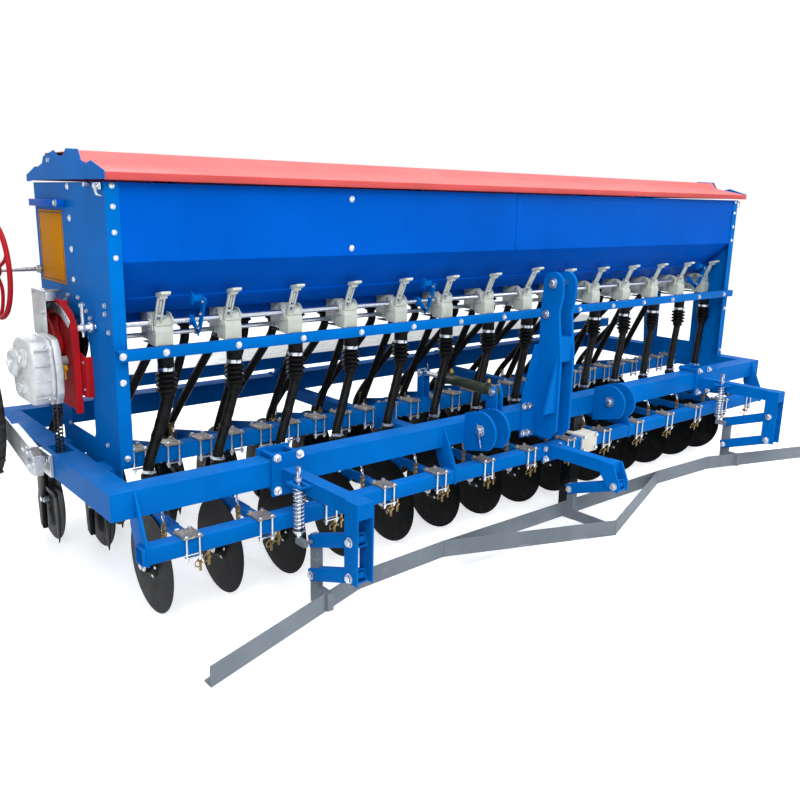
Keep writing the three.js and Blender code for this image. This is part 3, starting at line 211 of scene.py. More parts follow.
class Work:
    """A mesh in the making, in the drill's millimetres."""

    def __init__(self):
        self.bm = bmesh.new()

    def round_off(self, verts, width, segments=2):
        edges = {e for v in verts for e in v.link_edges}
        bmesh.ops.bevel(
            self.bm, geom=list(edges), offset=width, offset_type="OFFSET", affect="EDGES", segments=segments,
            profile=0.5, material=-1, clamp_overlap=True,
        )

    def box(self, x, y, z, edge=0.0, turn=None):
        """A block between (low, high) pairs, with its edges rounded and turned about its middle."""
        middle = Vector((sum(x) / 2, sum(y) / 2, sum(z) / 2))
        size = Matrix.Diagonal((x[1] - x[0], y[1] - y[0], z[1] - z[0], 1.0))
        spin = turn.to_4x4() if turn is not None else Matrix.Identity(4)
        made = bmesh.ops.create_cube(self.bm, size=1.0, matrix=Matrix.Translation(middle) @ spin @ size)
        if edge:
            self.round_off(made["verts"], edge)

    def rod(self, start, end, radius, sides=14, far_radius=None, edge=0.0):
        a, b = Vector(start), Vector(end)
        where = Matrix.Translation((a + b) / 2) @ turned(b - a)
        made = bmesh.ops.create_cone(
            self.bm, cap_ends=True, cap_tris=False, segments=sides, radius1=radius,
            radius2=radius if far_radius is None else far_radius, depth=(b - a).length, matrix=where,
        )
        if edge:
            ends = [e for v in made["verts"] for e in v.link_edges if len(e.link_faces) == 2
                    and any(len(f.verts) > 4 for f in e.link_faces)]
            bmesh.ops.bevel(self.bm, geom=list(set(ends)), offset=edge, affect="EDGES", segments=2, profile=0.5,
                            material=-1)

    def plate(self, outline, axis, low, high, edge=0.0):
        """A flat outline given its thickness along x, y or z. It is (y, z), (x, z) or (x, y)."""
        lift = {"x": lambda a, b, h: (h, a, b), "y": lambda a, b, h: (a, h, b), "z": lambda a, b, h: (a, b, h)}[axis]
        face = self.bm.faces.new([self.bm.verts.new(lift(a, b, low)) for a, b in outline])
        made = bmesh.ops.extrude_face_region(self.bm, geom=[face])["geom"]
        top = [v for v in made if isinstance(v, bmesh.types.BMVert)]
        bmesh.ops.translate(self.bm, verts=top, vec=Vector(lift(0, 0, high - low)))
        if edge:
            self.round_off(list(face.verts) + top, edge)

    def lathe(self, profile, centre, axis=(1, 0, 0), sides=32, closed=False):
        """A profile of (radius, distance) turned once about an axis through a point."""
        turn = Matrix.Translation(Vector(centre)) @ turned(axis)
        part = bmesh.new()
        verts = [part.verts.new(turn @ Vector((r, 0, h))) for r, h in profile]
        pairs = list(zip(verts, verts[1:])) + ([(verts[-1], verts[0])] if closed else [])
        edges = [part.edges.new(pair) for pair in pairs]
        bmesh.ops.spin(
            part, geom=verts + edges, cent=Vector(centre), axis=Vector(axis).normalized(), angle=math.tau,
            steps=sides, use_merge=True, use_duplicate=False,
        )
        if not closed:
            bmesh.ops.remove_doubles(part, verts=part.verts, dist=0.001)
        self.take(part, [(0, 0, 0)])

    def hose(self, path, radius, sides=12, squash=1.0):
        """A round section carried along a path. The radius is one number, or one for each point."""
        radii = radius if isinstance(radius, (list, tuple)) else [radius] * len(path)
        path = [Vector(p) for p in path]
        ahead = (path[1] - path[0]).normalized()
        turn = ahead.to_track_quat("Z", "Y")
        spot = Matrix.Translation(path[0]) @ turn.to_matrix().to_4x4() @ Matrix.Diagonal(
            (radii[0], radii[0] * squash, radii[0], 1))
        ring = bmesh.ops.create_circle(self.bm, cap_ends=False, segments=sides, radius=1.0, matrix=spot)["verts"]
        first = list(ring)
        edges = [e for e in {e for v in ring for e in v.link_edges}]
        for k in range(1, len(path)):
            after = path[min(k + 1, len(path) - 1)] - path[k - 1]
            turn = ahead.rotation_difference(after.normalized()) @ turn
            ahead = after.normalized()
            new_spot = Matrix.Translation(path[k]) @ turn.to_matrix().to_4x4() @ Matrix.Diagonal(
                (radii[k], radii[k] * squash, radii[k], 1))
            made = bmesh.ops.extrude_edge_only(self.bm, edges=edges)["geom"]
            ring = [v for v in made if isinstance(v, bmesh.types.BMVert)]
            edges = [e for e in made if isinstance(e, bmesh.types.BMEdge) and e.verts[0] in ring and e.verts[1] in ring]
            bmesh.ops.transform(self.bm, matrix=new_spot @ spot.inverted(), verts=ring)
            spot = new_spot
        bmesh.ops.contextual_create(self.bm, geom=edges)
        bmesh.ops.contextual_create(self.bm, geom=[e for e in self.bm.edges if e.is_boundary
                                                   and e.verts[0] in first and e.verts[1] in first])

    def coil(self, foot, height, radius, wire, turns, sides=6):
        """A coil spring that stands on its foot."""
        count = int(turns * 12)
        path = []
        for k in range(count + 1):
            angle = math.tau * turns * k / count
            path.append((foot[0] + radius * math.cos(angle), foot[1] + radius * math.sin(angle),
                         foot[2] + wire + (height - 2 * wire) * k / count))
        self.hose(path, wire, sides)

    def bolt(self, spot, axis, size=12, washer=True, tail=0.0):
        """A hexagon head on its washer at a surface, with the end of its thread on the far side."""
        spot, out = Vector(spot), Vector(axis).normalized()
        if washer:
            self.rod(spot, spot + out * size * 0.16, size * 1.05, 14)
        foot = spot + out * size * 0.16
        self.rod(foot, foot + out * size * 0.5, size * 0.87, 6)
        self.rod(foot + out * size * 0.5, foot + out * size * 0.64, size * 0.87, 6, far_radius=size * 0.68)
        if tail:
            self.rod(foot, foot + out * (size * 0.64 + tail), size * 0.45, 8)

    def dome_bolt(self, spot, axis, size=12):
        spot = Vector(spot)
        profile = ((0, 0), (1.1, 0), (1.1, 0.15), (0.85, 0.2), (0.75, 0.42), (0.45, 0.6), (0, 0.66))
        self.lathe([(size * r, size * h) for r, h in profile], spot, axis, 12)

    def chain_link(self, middle, along, across, size, wire):
        """One oval link of a light chain."""
        along, across = Vector(along).normalized(), Vector(across).normalized()
        ring = []
        for k in range(11):
            angle = math.tau * k / 10
            ring.append(Vector(middle) + along * math.cos(angle) * size + across * math.sin(angle) * size * 0.55)
        self.hose(ring, wire, 5)

    def take(self, part, offsets):
        """Copies of another mesh, each moved by an offset. The other mesh is used up."""
        mesh = bpy.data.meshes.new("unit")
        part.to_mesh(mesh)
        part.free()
        moved = Vector((0, 0, 0))
        for offset in offsets:
            mesh.transform(Matrix.Translation(Vector(offset) - moved))
            moved = Vector(offset)
            self.bm.from_mesh(mesh)
        bpy.data.meshes.remove(mesh)

    def add(self, unit, offsets):
        self.take(unit.bm, offsets)


def piece(name, work, material, body="drill", instead_of=(), edge=0.0, smooth=32):
    """Make a finished object from a work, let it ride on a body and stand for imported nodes."""
    bm = work.bm
    bmesh.ops.recalc_face_normals(bm, faces=bm.faces)
    bmesh.ops.transform(bm, matrix=TO_ROW, verts=bm.verts)
    mesh = bpy.data.meshes.new(name)
    bm.to_mesh(mesh)
    bm.free()
    mesh.materials.append(finish(material))
    mesh.polygons.foreach_set("use_smooth", [True] * len(mesh.polygons))
    mesh.set_sharp_from_angle(angle=math.radians(smooth))
    made = bpy.data.objects.new(name, mesh)
    bpy.context.scene.collection.objects.link(made)
    if edge:
        rounding(made, edge)
    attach(made, body)
    if instead_of:
        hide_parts(*instead_of)
    return made


def rounding(obj, edge, angle=34):
    """Round an object's hard edges by a width in millimetres."""
    bevel = obj.modifiers.new("edges", "BEVEL")
    bevel.width = edge * MM
    bevel.segments = 2
    bevel.limit_method = "ANGLE"
    bevel.angle_limit = math.radians(angle)
    bevel.harden_normals = True


def dress(node, material, edge=2.4):
    """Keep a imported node's shape: merge its loose triangles, round its edges and give it a finish."""
    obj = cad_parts[node]
    weld = obj.modifiers.new("weld", "WELD")
    weld.merge_threshold = 0.01 * MM
    flat = obj.modifiers.new("flat faces", "DECIMATE")
    flat.decimate_type = "DISSOLVE"
    flat.angle_limit = math.radians(0.4)
    if edge:
        rounding(obj, edge)
    obj.data.materials.clear()
    obj.data.materials.append(finish(material))
    return obj


# ---- finishes --------------------------------------------------------------------------------
FINISHES = {}


def add(tree, kind, props=None, values=None, links=None):
    """Add a node with its settings, the values of its inputs, and the outputs that feed it."""
    node = tree.nodes.new(kind)
    for name, value in (props or {}).items():
        setattr(node, name, value)
    for name, value in (values or {}).items():
        node.inputs[name].default_value = value
    for name, socket in (links or {}).items():
        tree.links.new(socket, node.inputs[name])
    return node


def surface(name, base, roughness, metallic=0.0, **values):
    """A new material with its shader and its place on the object."""
    made = bpy.data.materials.new(name)
    made.use_nodes = True
    tree = made.node_tree
    tree.nodes.clear()
    out = add(tree, "ShaderNodeOutputMaterial")
    inputs = {"Base Color": base, "Roughness": roughness, "Metallic": metallic}
    inputs.update(values)
    shader = add(tree, "ShaderNodeBsdfPrincipled", values=inputs)
    tree.links.new(shader.outputs[0], out.inputs["Surface"])
    where = add(tree, "ShaderNodeTexCoord").outputs["Object"]
    return made, tree, shader, where


def per_mm(millimetres):
    """Noise scale whose cells are this wide."""
    return 1.0 / (millimetres * MM)


def blotches(tree, where, millimetres, low, high, detail=3.0, seed=0.0, stretch=(1, 1, 1)):
    """A soft mask from noise: nothing below one level, full above another."""
    mapped = add(tree, "ShaderNodeMapping", values={"Location": (seed, seed * 0.7, seed * 0.3), "Scale": stretch},
                 links={"Vector": where})
    noise = add(tree, "ShaderNodeTexNoise", values={"Scale": per_mm(millimetres), "Detail": detail,
                                                    "Roughness": 0.55}, links={"Vector": mapped.outputs[0]})
    return add(tree, "ShaderNodeMapRange", values={"From Min": low, "From Max": high},
               links={"Value": noise.outputs["Fac"]}).outputs[0]


def blend_colour(tree, share, first, second):
    """First and second are colours or outputs, mixed by a number or an output."""
    mix = add(tree, "ShaderNodeMix", props={"data_type": "RGBA"})
    for socket, value in ((0, share), (6, first), (7, second)):
        if isinstance(value, bpy.types.NodeSocket):
            tree.links.new(value, mix.inputs[socket])
        else:
            mix.inputs[socket].default_value = value
    return mix.outputs[2]


def scaled(tree, socket, amount, base=0.0):
    """An output times one number plus another."""
    return add(tree, "ShaderNodeMath", props={"operation": "MULTIPLY_ADD"}, values={1: amount, 2: base},
               links={0: socket}).outputs[0]


def product(tree, first, second):
    return add(tree, "ShaderNodeMath", props={"operation": "MULTIPLY"}, links={0: first, 1: second}).outputs[0]


def facing_up(tree, low, high):
    """A mask for surfaces that lie flat enough to hold dust."""
    normal = add(tree, "ShaderNodeNewGeometry").outputs["Normal"]
    height = add(tree, "ShaderNodeSeparateXYZ", links={0: normal}).outputs["Z"]
    return add(tree, "ShaderNodeMapRange", values={"From Min": low, "From Max": high},
               links={"Value": height}).outputs[0]


def relief(tree, shader, where, millimetres, depth_mm, strength=0.4, detail=2.0):
    """Fine bumps from noise."""
    noise = add(tree, "ShaderNodeTexNoise", values={"Scale": per_mm(millimetres), "Detail": detail},
                links={"Vector": where})
    bump = add(tree, "ShaderNodeBump", values={"Strength": strength, "Distance": depth_mm * MM},
               links={"Height": noise.outputs["Fac"]})
    tree.links.new(bump.outputs[0], shader.inputs["Normal"])
    return bump


def darker(code, amount):
    return tuple(v * amount for v in code[:3]) + (1.0,)


def mixed(code, other, share):
    return tuple(a * (1 - share) + b * share for a, b in zip(code[:3], other[:3])) + (1.0,)


DUST = opaque("a9a294")
WHITE = (1.0, 1.0, 1.0, 1.0)


def enamel(name, base, roughness=0.3, coat=0.35, dust=0.12, peel=3.0, scuffs=0.5, shade=0.86,
           gloss=0.012):
    """Sprayed machine enamel on steel: glossy with orange peel, uneven cover, dust on top and fine handling scuffs."""
    made, tree, shader, where = surface(name, base, roughness, **{"Coat Weight": coat, "Coat Roughness": 0.12,
                                                                  "Specular IOR Level": gloss})
    cover = blotches(tree, where, 420, 0.35, 0.68, seed=3.1)
    tone = blend_colour(tree, cover, darker(base, shade), darker(base, 1.08))
    runs = blotches(tree, where, 60, 0.52, 0.72, detail=4, seed=8.7, stretch=(1, 1, 0.25))
    tone = blend_colour(tree, scaled(tree, runs, 0.14), tone, darker(base, 0.62))
    settled = product(tree, facing_up(tree, 0.5, 0.95), blotches(tree, where, 90, 0.3, 0.75, detail=5, seed=1.3))
    tone = blend_colour(tree, scaled(tree, settled, dust), tone, DUST)
    scratch = blotches(tree, where, 14, 0.69, 0.715, detail=1, seed=5.2, stretch=(0.12, 0.12, 1.5))
    patch = blotches(tree, where, 240, 0.52, 0.66, seed=6.4)
    marks = product(tree, scratch, patch)
    tone = blend_colour(tree, scaled(tree, marks, scuffs * 0.35), tone, mixed(base, WHITE, 0.45))
    tree.links.new(tone, shader.inputs["Base Color"])
    rough = scaled(tree, settled, 0.3, roughness)
    rough = add(tree, "ShaderNodeMath", props={"operation": "ADD"},
                links={0: rough, 1: scaled(tree, marks, 0.25)}).outputs[0]
    tree.links.new(rough, shader.inputs["Roughness"])
    relief(tree, shader, where, peel, 0.12, 0.22)
    return made


# Each paint: its base colour, as a finish of the add-on or an sRGB hex value, and how its coat lies. The leveller's
# grey is a thin satin coat over hot-rolled angle iron, blotchy and scraped. The hopper's blue lies more evenly than
# the frame's, and is the frame's blue made deeper: painted shade on the hopper's sheets.
ENAMELS = {
    "blue enamel": ("machine_blue", {"coat": 0.0, "dust": 0.03, "scuffs": 0.0}),
    "hopper enamel": ("hopper_shaded_blue", {"coat": 0.0, "dust": 0.02, "scuffs": 0.0, "shade": 0.92}),
    "lid enamel": ("lid_red", {"roughness": 0.4, "coat": 0.05, "dust": 0.06, "scuffs": 0.2, "shade": 0.93}),
    # The lip's red is painted shade: a darker copy of the lid's red.
    "lid lip enamel": ("lid_lip", {"roughness": 0.36, "coat": 0.05, "dust": 0.03, "scuffs": 0.2}),
    "red enamel": ("signal_red", {"roughness": 0.32, "coat": 0.08, "dust": 0.03, "scuffs": 0.1}),
    "grey enamel": ("leveller_grey", {"roughness": 0.42, "coat": 0.08, "dust": 0.08, "peel": 2.2, "scuffs": 0.8,
                                      "shade": 0.78}),
    "ivory enamel": ("d5d0c3", {"roughness": 0.45, "coat": 0.1, "scuffs": 0.3}),
    "black enamel": ("16181b", {"roughness": 0.4, "coat": 0.2, "scuffs": 0.3}),
    "olive enamel": ("343a31", {"roughness": 0.36, "coat": 0.25, "dust": 0.1}),
}


def cast_metal():
    """Sand-cast aluminium under silver-grey paint: soft corners, a grainy skin and dull gloss."""
    base = finish_of("cast_metal")
    made, tree, shader, where = surface("cast metal", base, 0.42, 0.35)
    cover = blotches(tree, where, 45, 0.35, 0.7, detail=4, seed=2.2)
    tone = blend_colour(tree, cover, darker(base, 0.8), mixed(base, WHITE, 0.1))
    grime = blotches(tree, where, 22, 0.6, 0.8, detail=5, seed=4.4)
    tree.links.new(blend_colour(tree, scaled(tree, grime, 0.3), tone, darker(base, 0.35)), shader.inputs["Base Color"])
    tree.links.new(scaled(tree, cover, 0.14, 0.36), shader.inputs["Roughness"])
    relief(tree, shader, where, 1.8, 0.35, 0.5, 4)
    return made


def meter_plastic():
    """Injection-moulded pale nylon: even colour, a fine spark-eroded grain and dusty upper faces."""
    base = finish_of("meter_plastic")
    made, tree, shader, where = surface("meter plastic", base, 0.48, **{"Subsurface Weight": 0.05,
                                                                        "Subsurface Scale": 0.004})
    cover = blotches(tree, where, 70, 0.35, 0.7, seed=2.9)
    tone = blend_colour(tree, cover, darker(base, 0.9), mixed(base, WHITE, 0.08))
    settled = product(tree, facing_up(tree, 0.4, 0.9), blotches(tree, where, 25, 0.3, 0.7, detail=5, seed=7.3))
    tree.links.new(blend_colour(tree, scaled(tree, settled, 0.25), tone, DUST), shader.inputs["Base Color"])
    relief(tree, shader, where, 1.2, 0.12, 0.35, 3)
    return made


def rubber():
    """Black EPDM rubber: matt, slightly greyed with bloom and powder from handling."""
    base = finish_of("rubber")
    made, tree, shader, where = surface("rubber", base, 0.5, **{"Specular IOR Level": 0.07})
    bloom = blotches(tree, where, 30, 0.42, 0.8, detail=5, seed=1.9)
    tree.links.new(blend_colour(tree, scaled(tree, bloom, 0.03), base, DUST), shader.inputs["Base Color"])
    tree.links.new(scaled(tree, bloom, 0.22, 0.36), shader.inputs["Roughness"])
    relief(tree, shader, where, 1.5, 0.12, 0.3, 3)
    return made


def tyre():
    """Carbon-black tyre compound: matt, browned by patches of dried soil."""
    base = finish_of("tyre")
    made, tree, shader, where = surface("tyre", base, 0.72)
    soil = blotches(tree, where, 40, 0.5, 0.8, detail=5, seed=3.7)
    tree.links.new(blend_colour(tree, scaled(tree, soil, 0.25), base, opaque("6d6250")),
                   shader.inputs["Base Color"])
    relief(tree, shader, where, 2.5, 0.2, 0.4, 4)
    return made


def plated(name, base, roughness, spangle_mm, contrast, other):
    """Plated or galvanised steel: metallic, with a cloudy or crystalline cover whose cells differ in tone and gloss."""
    made, tree, shader, where = surface(name, base, roughness, 1.0)
    cells = add(tree, "ShaderNodeTexVoronoi", values={"Scale": per_mm(spangle_mm)}, links={"Vector": where})
    grey = add(tree, "ShaderNodeSeparateColor", links={0: cells.outputs["Color"]}).outputs[0]
    cloud = blotches(tree, where, spangle_mm * 5, 0.35, 0.7, seed=2.6)
    tone = blend_colour(tree, scaled(tree, grey, contrast), base, darker(base, 0.62))
    tone = blend_colour(tree, scaled(tree, cloud, 0.35), tone, other)
    tree.links.new(tone, shader.inputs["Base Color"])
    tree.links.new(scaled(tree, grey, 0.12, roughness), shader.inputs["Roughness"])
    relief(tree, shader, where, 1.6, 0.05, 0.25)
    return made


# Each plating: base colour, roughness, width of its cells in mm, how much they differ, and the tone of its clouds.
PLATINGS = {
    "bright zinc": ("zinc", 0.26, 5, 0.25, "b7c2cf"),
    "galvanised": ("c3c7c9", 0.38, 16, 0.5, "a9afb2"),
    "yellow zinc": ("yellow_zinc", 0.32, 7, 0.3, "c9a86c"),
    "brass": ("c8a24a", 0.3, 4, 0.15, "b48a3c"),
}


def clamp_steel():
    """Pressed steel plate under brown-grey phosphate: mottled, its lighter cells pearly and glossier."""
    base = finish_of("clamp_plate")
    made, tree, shader, where = surface("clamp steel", base, 0.45, 0.55)
    cells = blotches(tree, where, 9, 0.38, 0.66, detail=5, seed=4.1)
    tone = blend_colour(tree, cells, darker(base, 0.55), mixed(base, opaque("b6aa98"), 0.6))
    tree.links.new(tone, shader.inputs["Base Color"])
    tree.links.new(scaled(tree, cells, -0.15, 0.52), shader.inputs["Roughness"])
    relief(tree, shader, where, 2.4, 0.15, 0.5, 4)
    return made


def disc_steel():
    """Boron steel discs under black coating: satin, with a faint bumpy skin and dusty scuffs."""
    base = finish_of("disc_steel")
    made, tree, shader, where = surface("disc steel", base, 0.42, **{"Specular IOR Level": 0.06})
    scuff = blotches(tree, where, 55, 0.5, 0.78, detail=6, seed=6.1)
    tree.links.new(blend_colour(tree, scaled(tree, scuff, 0.04), base, DUST), shader.inputs["Base Color"])
    tree.links.new(scaled(tree, scuff, 0.25, 0.36), shader.inputs["Roughness"])
    relief(tree, shader, where, 6, 0.1, 0.25, 4)
    return made


def chain_steel():
    """Oiled roller chain: dark bare steel, darker in oily patches."""
    base = opaque("3a3733")
    made, tree, shader, where = surface("chain steel", base, 0.34, 0.85)
    oil = blotches(tree, where, 18, 0.4, 0.7, detail=4, seed=2.8)
    tree.links.new(blend_colour(tree, oil, base, darker(base, 0.35)), shader.inputs["Base Color"])
    relief(tree, shader, where, 1.5, 0.08, 0.3)
    return made


def chequer_plate():
    """Rolled aluminium tread plate: bright, with duller dusty patches."""
    base = opaque("c7cacc")
    made, tree, shader, where = surface("chequer plate", base, 0.36, 0.9)
    dirt = blotches(tree, where, 60, 0.4, 0.7, detail=5, seed=9.2)
    tree.links.new(blend_colour(tree, scaled(tree, dirt, 0.4), base, opaque("8f8d88")),
                   shader.inputs["Base Color"])
    tree.links.new(scaled(tree, dirt, 0.25, 0.3), shader.inputs["Roughness"])
    relief(tree, shader, where, 1.4, 0.06, 0.3)
    return made


def data_plate():
    """Printed sheet aluminium: flat orange ink, slightly rubbed."""
    base = finish_of("plate_orange")
    made, tree, shader, where = surface("data plate", base, 0.4, **{"Specular IOR Level": 0.01})
    rub = blotches(tree, where, 35, 0.5, 0.8, detail=5, seed=5.5)
    tree.links.new(blend_colour(tree, scaled(tree, rub, 0.3), base, darker(base, 0.6)), shader.inputs["Base Color"])
    relief(tree, shader, where, 3, 0.05, 0.2)
    return made


def yellow_plastic():
    base = finish_of("knob_yellow")
    made, tree, shader, where = surface("yellow plastic", base, 0.36, **{"Specular IOR Level": 0.5})
    cover = blotches(tree, where, 20, 0.4, 0.7, detail=4, seed=2.4)
    tree.links.new(blend_colour(tree, scaled(tree, cover, 0.4), base, darker(base, 0.7)), shader.inputs["Base Color"])
    relief(tree, shader, where, 1.5, 0.1, 0.3)
    return made


MAKERS = {made.__name__.replace("_", " "): made for made in (
    cast_metal, meter_plastic, rubber, tyre, clamp_steel, disc_steel, chain_steel, chequer_plate, data_plate,
    yellow_plastic)}


def base_colour(key):
    """A finish of the add-on by its name, or else an sRGB hex value."""
    return finish_of(key) if hasattr(bpy.context.scene.seed_drill_finish, key) else opaque(key)


def finish(name):
    """The material of that name, made when it is first asked for."""
    if name not in FINISHES:
        if name in ENAMELS:
            base, coat = ENAMELS[name]
            FINISHES[name] = enamel(name, base_colour(base), **coat)
        elif name in PLATINGS:
            base, *values, clouds = PLATINGS[name]
            FINISHES[name] = plated(name, base_colour(base), *values, opaque(clouds))
        else:
            FINISHES[name] = MAKERS[name]()
    return FINISHES[name]


# ---- pieces that keep their imported shape ----------------------------------------------------------
# The hopper's sheets take the hopper's deeper blue, which is painted shade over the frame's blue.
CARRIED = {
    "main_frame": ("blue enamel", 6), "hopper_body": ("hopper enamel", 1.2), "hopper_end_left": ("blue enamel", 1.2),
    "hopper_end_right": ("blue enamel", 1.2), "hopper_lid": ("lid enamel", 1.2), "lid_cap_left": ("blue enamel", 1),
    "lid_cap_right": ("blue enamel", 1), "mast": ("blue enamel", 2.4), "hitch_clevis_left": ("blue enamel", 2.4),
    "hitch_clevis_right": ("blue enamel", 2.4), "leveller_blade": ("grey enamel", 1.5),
    "parking_leg": ("black enamel", 3), "parking_leg_bracket": ("ivory enamel", 2),
    "wheel_arm": ("galvanised", 2),
    "platform": ("blue enamel", 1.5), "leveller_arm_left": ("blue enamel", 2.4),
    "leveller_arm_right": ("blue enamel", 2.4), "leveller_arm_centre": ("blue enamel", 2.4),
    "gear_quadrant": ("red enamel", 2),
}


class SEEDDRILL_OT_carried(bpy.types.Operator):
    """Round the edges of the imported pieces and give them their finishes"""

    bl_idname = "seed_drill.carried"
    bl_label = "Packed Pieces"

    def execute(self, context):
        for node, (material, edge) in CARRIED.items():
            dress(node, material, edge)
        return {"FINISHED"}


def rounded(a, b, corner, steps=3):
    """The outline of a rectangle from a[0]..a[1] by b[0]..b[1] with round corners."""
    points = []
    for cx, cy, start in ((a[1] - corner, b[1] - corner, 0), (a[0] + corner, b[1] - corner, 1),
                          (a[0] + corner, b[0] + corner, 2), (a[1] - corner, b[0] + corner, 3)):
        for k in range(steps + 1):
            angle = math.pi / 2 * (start + k / steps)
            points.append((cx + corner * math.cos(angle), cy + corner * math.sin(angle)))
    return points


def square_tube(work, axis, a, b, ends, wall=5, corner=7):
    """Hollow square tube along x, y or z with open ends."""
    lift = {"x": lambda p, q, h: (h, p, q), "y": lambda p, q, h: (p, h, q), "z": lambda p, q, h: (p, q, h)}[axis]
    part = bmesh.new()
    for grow in (0, wall):
        loop = rounded((a[0] + grow, a[1] - grow), (b[0] + grow, b[1] - grow), max(corner - grow, 1.5))
        verts = [part.verts.new(lift(p, q, ends[0])) for p, q in loop]
        for pair in zip(verts, verts[1:] + verts[:1]):
            part.edges.new(pair)
    rim = bmesh.ops.bridge_loops(part, edges=part.edges[:])["faces"]
    made = bmesh.ops.extrude_face_region(part, geom=rim)["geom"]
    far = [v for v in made if isinstance(v, bmesh.types.BMVert)]
    bmesh.ops.translate(part, verts=far, vec=Vector(lift(0, 0, ends[1] - ends[0])))
    work.take(part, [(0, 0, 0)])


# ---- tool bar clamps ------------------------------------------------------------------------------
def clamp_plate(work, x, y, bar, top):
    work.box((x - 38, x + 38), (y - 12, y + bar + 12), (top, top + 8), 2)


def u_bolts(work, x, y, bar, top):
    """Two U-bolts down over a bar, with nuts on the plate and a strap with nuts below."""
    r = size_of("u_bolt") * 0.42
    for dx in (-25, 25):
        front, back = y - r - 1, y + bar + r + 1
        for leg in (front, back):
            work.rod((x + dx, leg, top - bar - 24), (x + dx, leg, top + 13), r, 8)
            work.rod((x + dx, leg, top + 8), (x + dx, leg, top + 15), r * 1.9, 6)
            work.rod((x + dx, leg, top - bar - 17), (x + dx, leg, top - bar - 8), r * 1.9, 6)
    for leg in (y - r - 1, y + bar + r + 1):
        work.box((x - 33, x + 33), (leg - 8, leg + 8), (top - bar - 8, top - bar - 3), 1)


class SEEDDRILL_OT_front_bar(bpy.types.Operator):
    """Front tool bar: open square tube, gussets, arms, shanks, boots, clamps, chains and scraper strips"""

    bl_idname = "seed_drill.front_bar"
    bl_label = "Front Tool Bar"

    def execute(self, context):
        y0, y1, top = FRONT_BAR_Y, FRONT_BAR_Y + FRONT_BAR, FRONT_BAR_TOP
        steel = Work()
        square_tube(steel, "x", (y0, y1), (top - FRONT_BAR, top), (-FRONT_BAR_HALF, FRONT_BAR_HALF), 5,
                    size_of("tube_corner"))
        for x in (18 - FRONT_BAR_HALF, -2.2 * PITCH, 2.2 * PITCH, FRONT_BAR_HALF - 18):
            outline = [(-0.3, FRAME_TOP - 3), (y0 - 4, top + 2), (y0 - 4, top - FRONT_BAR - 4),
                       (-10, top - FRONT_BAR - 4), (45, FRAME_TOP - BEAM - 40), (45, FRAME_TOP - BEAM - 0.3),
                       (-0.3, FRAME_TOP - BEAM - 0.3)]
            steel.plate(outline, "x", x - 5, x + 5, 1.5)
        for x in RUN_X:
            square_tube(steel, "y", (x - 20, x + 20), (top - 33, top - 1), (y1 - 2, DISC_Y - 186), 4, 5)
            shank = [(DISC_Y - 230, top - 2), (DISC_Y - 60, top - 2), (DISC_Y + 30, 380), (DISC_Y + 30, 300),
                     (DISC_Y + 24, DISC_R - 30), (DISC_Y - 24, DISC_R - 30), (DISC_Y - 34, 330), (DISC_Y - 100, 401),
                     (DISC_Y - 230, 412)]
            steel.plate(shank, "x", x + 10, x + 24, 2)
        piece("front_bar_steel", steel, "blue enamel", instead_of=("front_tool_bar",), smooth=40)

        plates, bolts, boots, strips, chains = Work(), Work(), Work(), Work(), Work()
        unit = Work()
        clamp_plate(unit, 0, y0, FRONT_BAR, top)
        plates.add(unit, [(x, 0, 0) for x in RUN_X])

        unit = Work()
        u_bolts(unit, 0, y0, FRONT_BAR, top)
        unit.bolt((24, DISC_Y, DISC_R), (1, 0, 0), 20, tail=6)
        unit.rod((-46, DISC_Y, DISC_R), (-34, DISC_Y, DISC_R), 17, 6)
        unit.rod((-34, DISC_Y, DISC_R), (-31, DISC_Y, DISC_R), 27, 16)
        for z in (330, 360):
            unit.bolt((24, DISC_Y - 4, z), (1, 0, 0), 10)
        bolts.add(unit, [(x, 0, 0) for x in RUN_X])

        # seed boot behind the disc, with a worn share at its foot
        unit = Work()
        boot = [(DISC_Y + 34, 330), (DISC_Y + 72, 330), (DISC_Y + 78, 190), (DISC_Y + 76, 60), (DISC_Y + 36, 45),
                (DISC_Y + 14, 140), (DISC_Y + 20, 300)]
        unit.plate(boot, "x", 10, 40, 4)
        unit.rod((28, DISC_Y + 53, 322), (28, DISC_Y + 53, 350), 21, 12, far_radius=25)
        boots.add(unit, [(x, 0, 0) for x in RUN_X])

        # scraper strips of yellow-plated spring steel that hang in front of the discs, with their pins
        unit = Work()
        for dx, drop in ((44, 66), (78, 52)):
            low = top - FRONT_BAR - drop
            unit.box((dx - 5, dx + 5), (-52, -48), (low - 22, top - FRONT_BAR - 2), 0.8)
            unit.rod((dx, -60, low + 14), (dx, -38, low + 14), 6, 6)
            unit.hose(smooth_path([(dx - 4, -46, low + 26), (dx - 14, -36, low + 4), (dx - 2, -26, low - 16),
                                   (dx + 12, -34, low - 6)], 4), 2.4, 6)
        unit.coil((-58, 22, top - 26), 62, 8, 2.0, 9, 5)
        unit.rod((-58, 22, top - 34), (-58, 22, top + 44), 3, 6)
        strips.add(unit, [(x, 0, 0) for x in RUN_X])

        unit = Work()
        for k in range(5):
            middle = (-58 + k * 1.5, 24 + k * 5, top + 44 + k * 11)
            across = (1, 0, 0) if k % 2 else (0, 1, 0)
            unit.chain_link(middle, (0.13, 0.4, 1), across, 9, 1.6)
        chains.add(unit, [(x, 0, 0) for x in RUN_X])

        piece("front_bar_clamp_plates", plates, "clamp steel")
        piece("front_bar_u_bolts", bolts, "bright zinc")
        piece("front_boots", boots, "black enamel")
        piece("front_scraper_strips", strips, "yellow zinc")
        piece("front_opener_chains", chains, "bright zinc")
        return {"FINISHED"}


# ---- fertiliser tubes ------------------------------------------------------------------------------
CUP_Y = 332
CUP_Z = 560


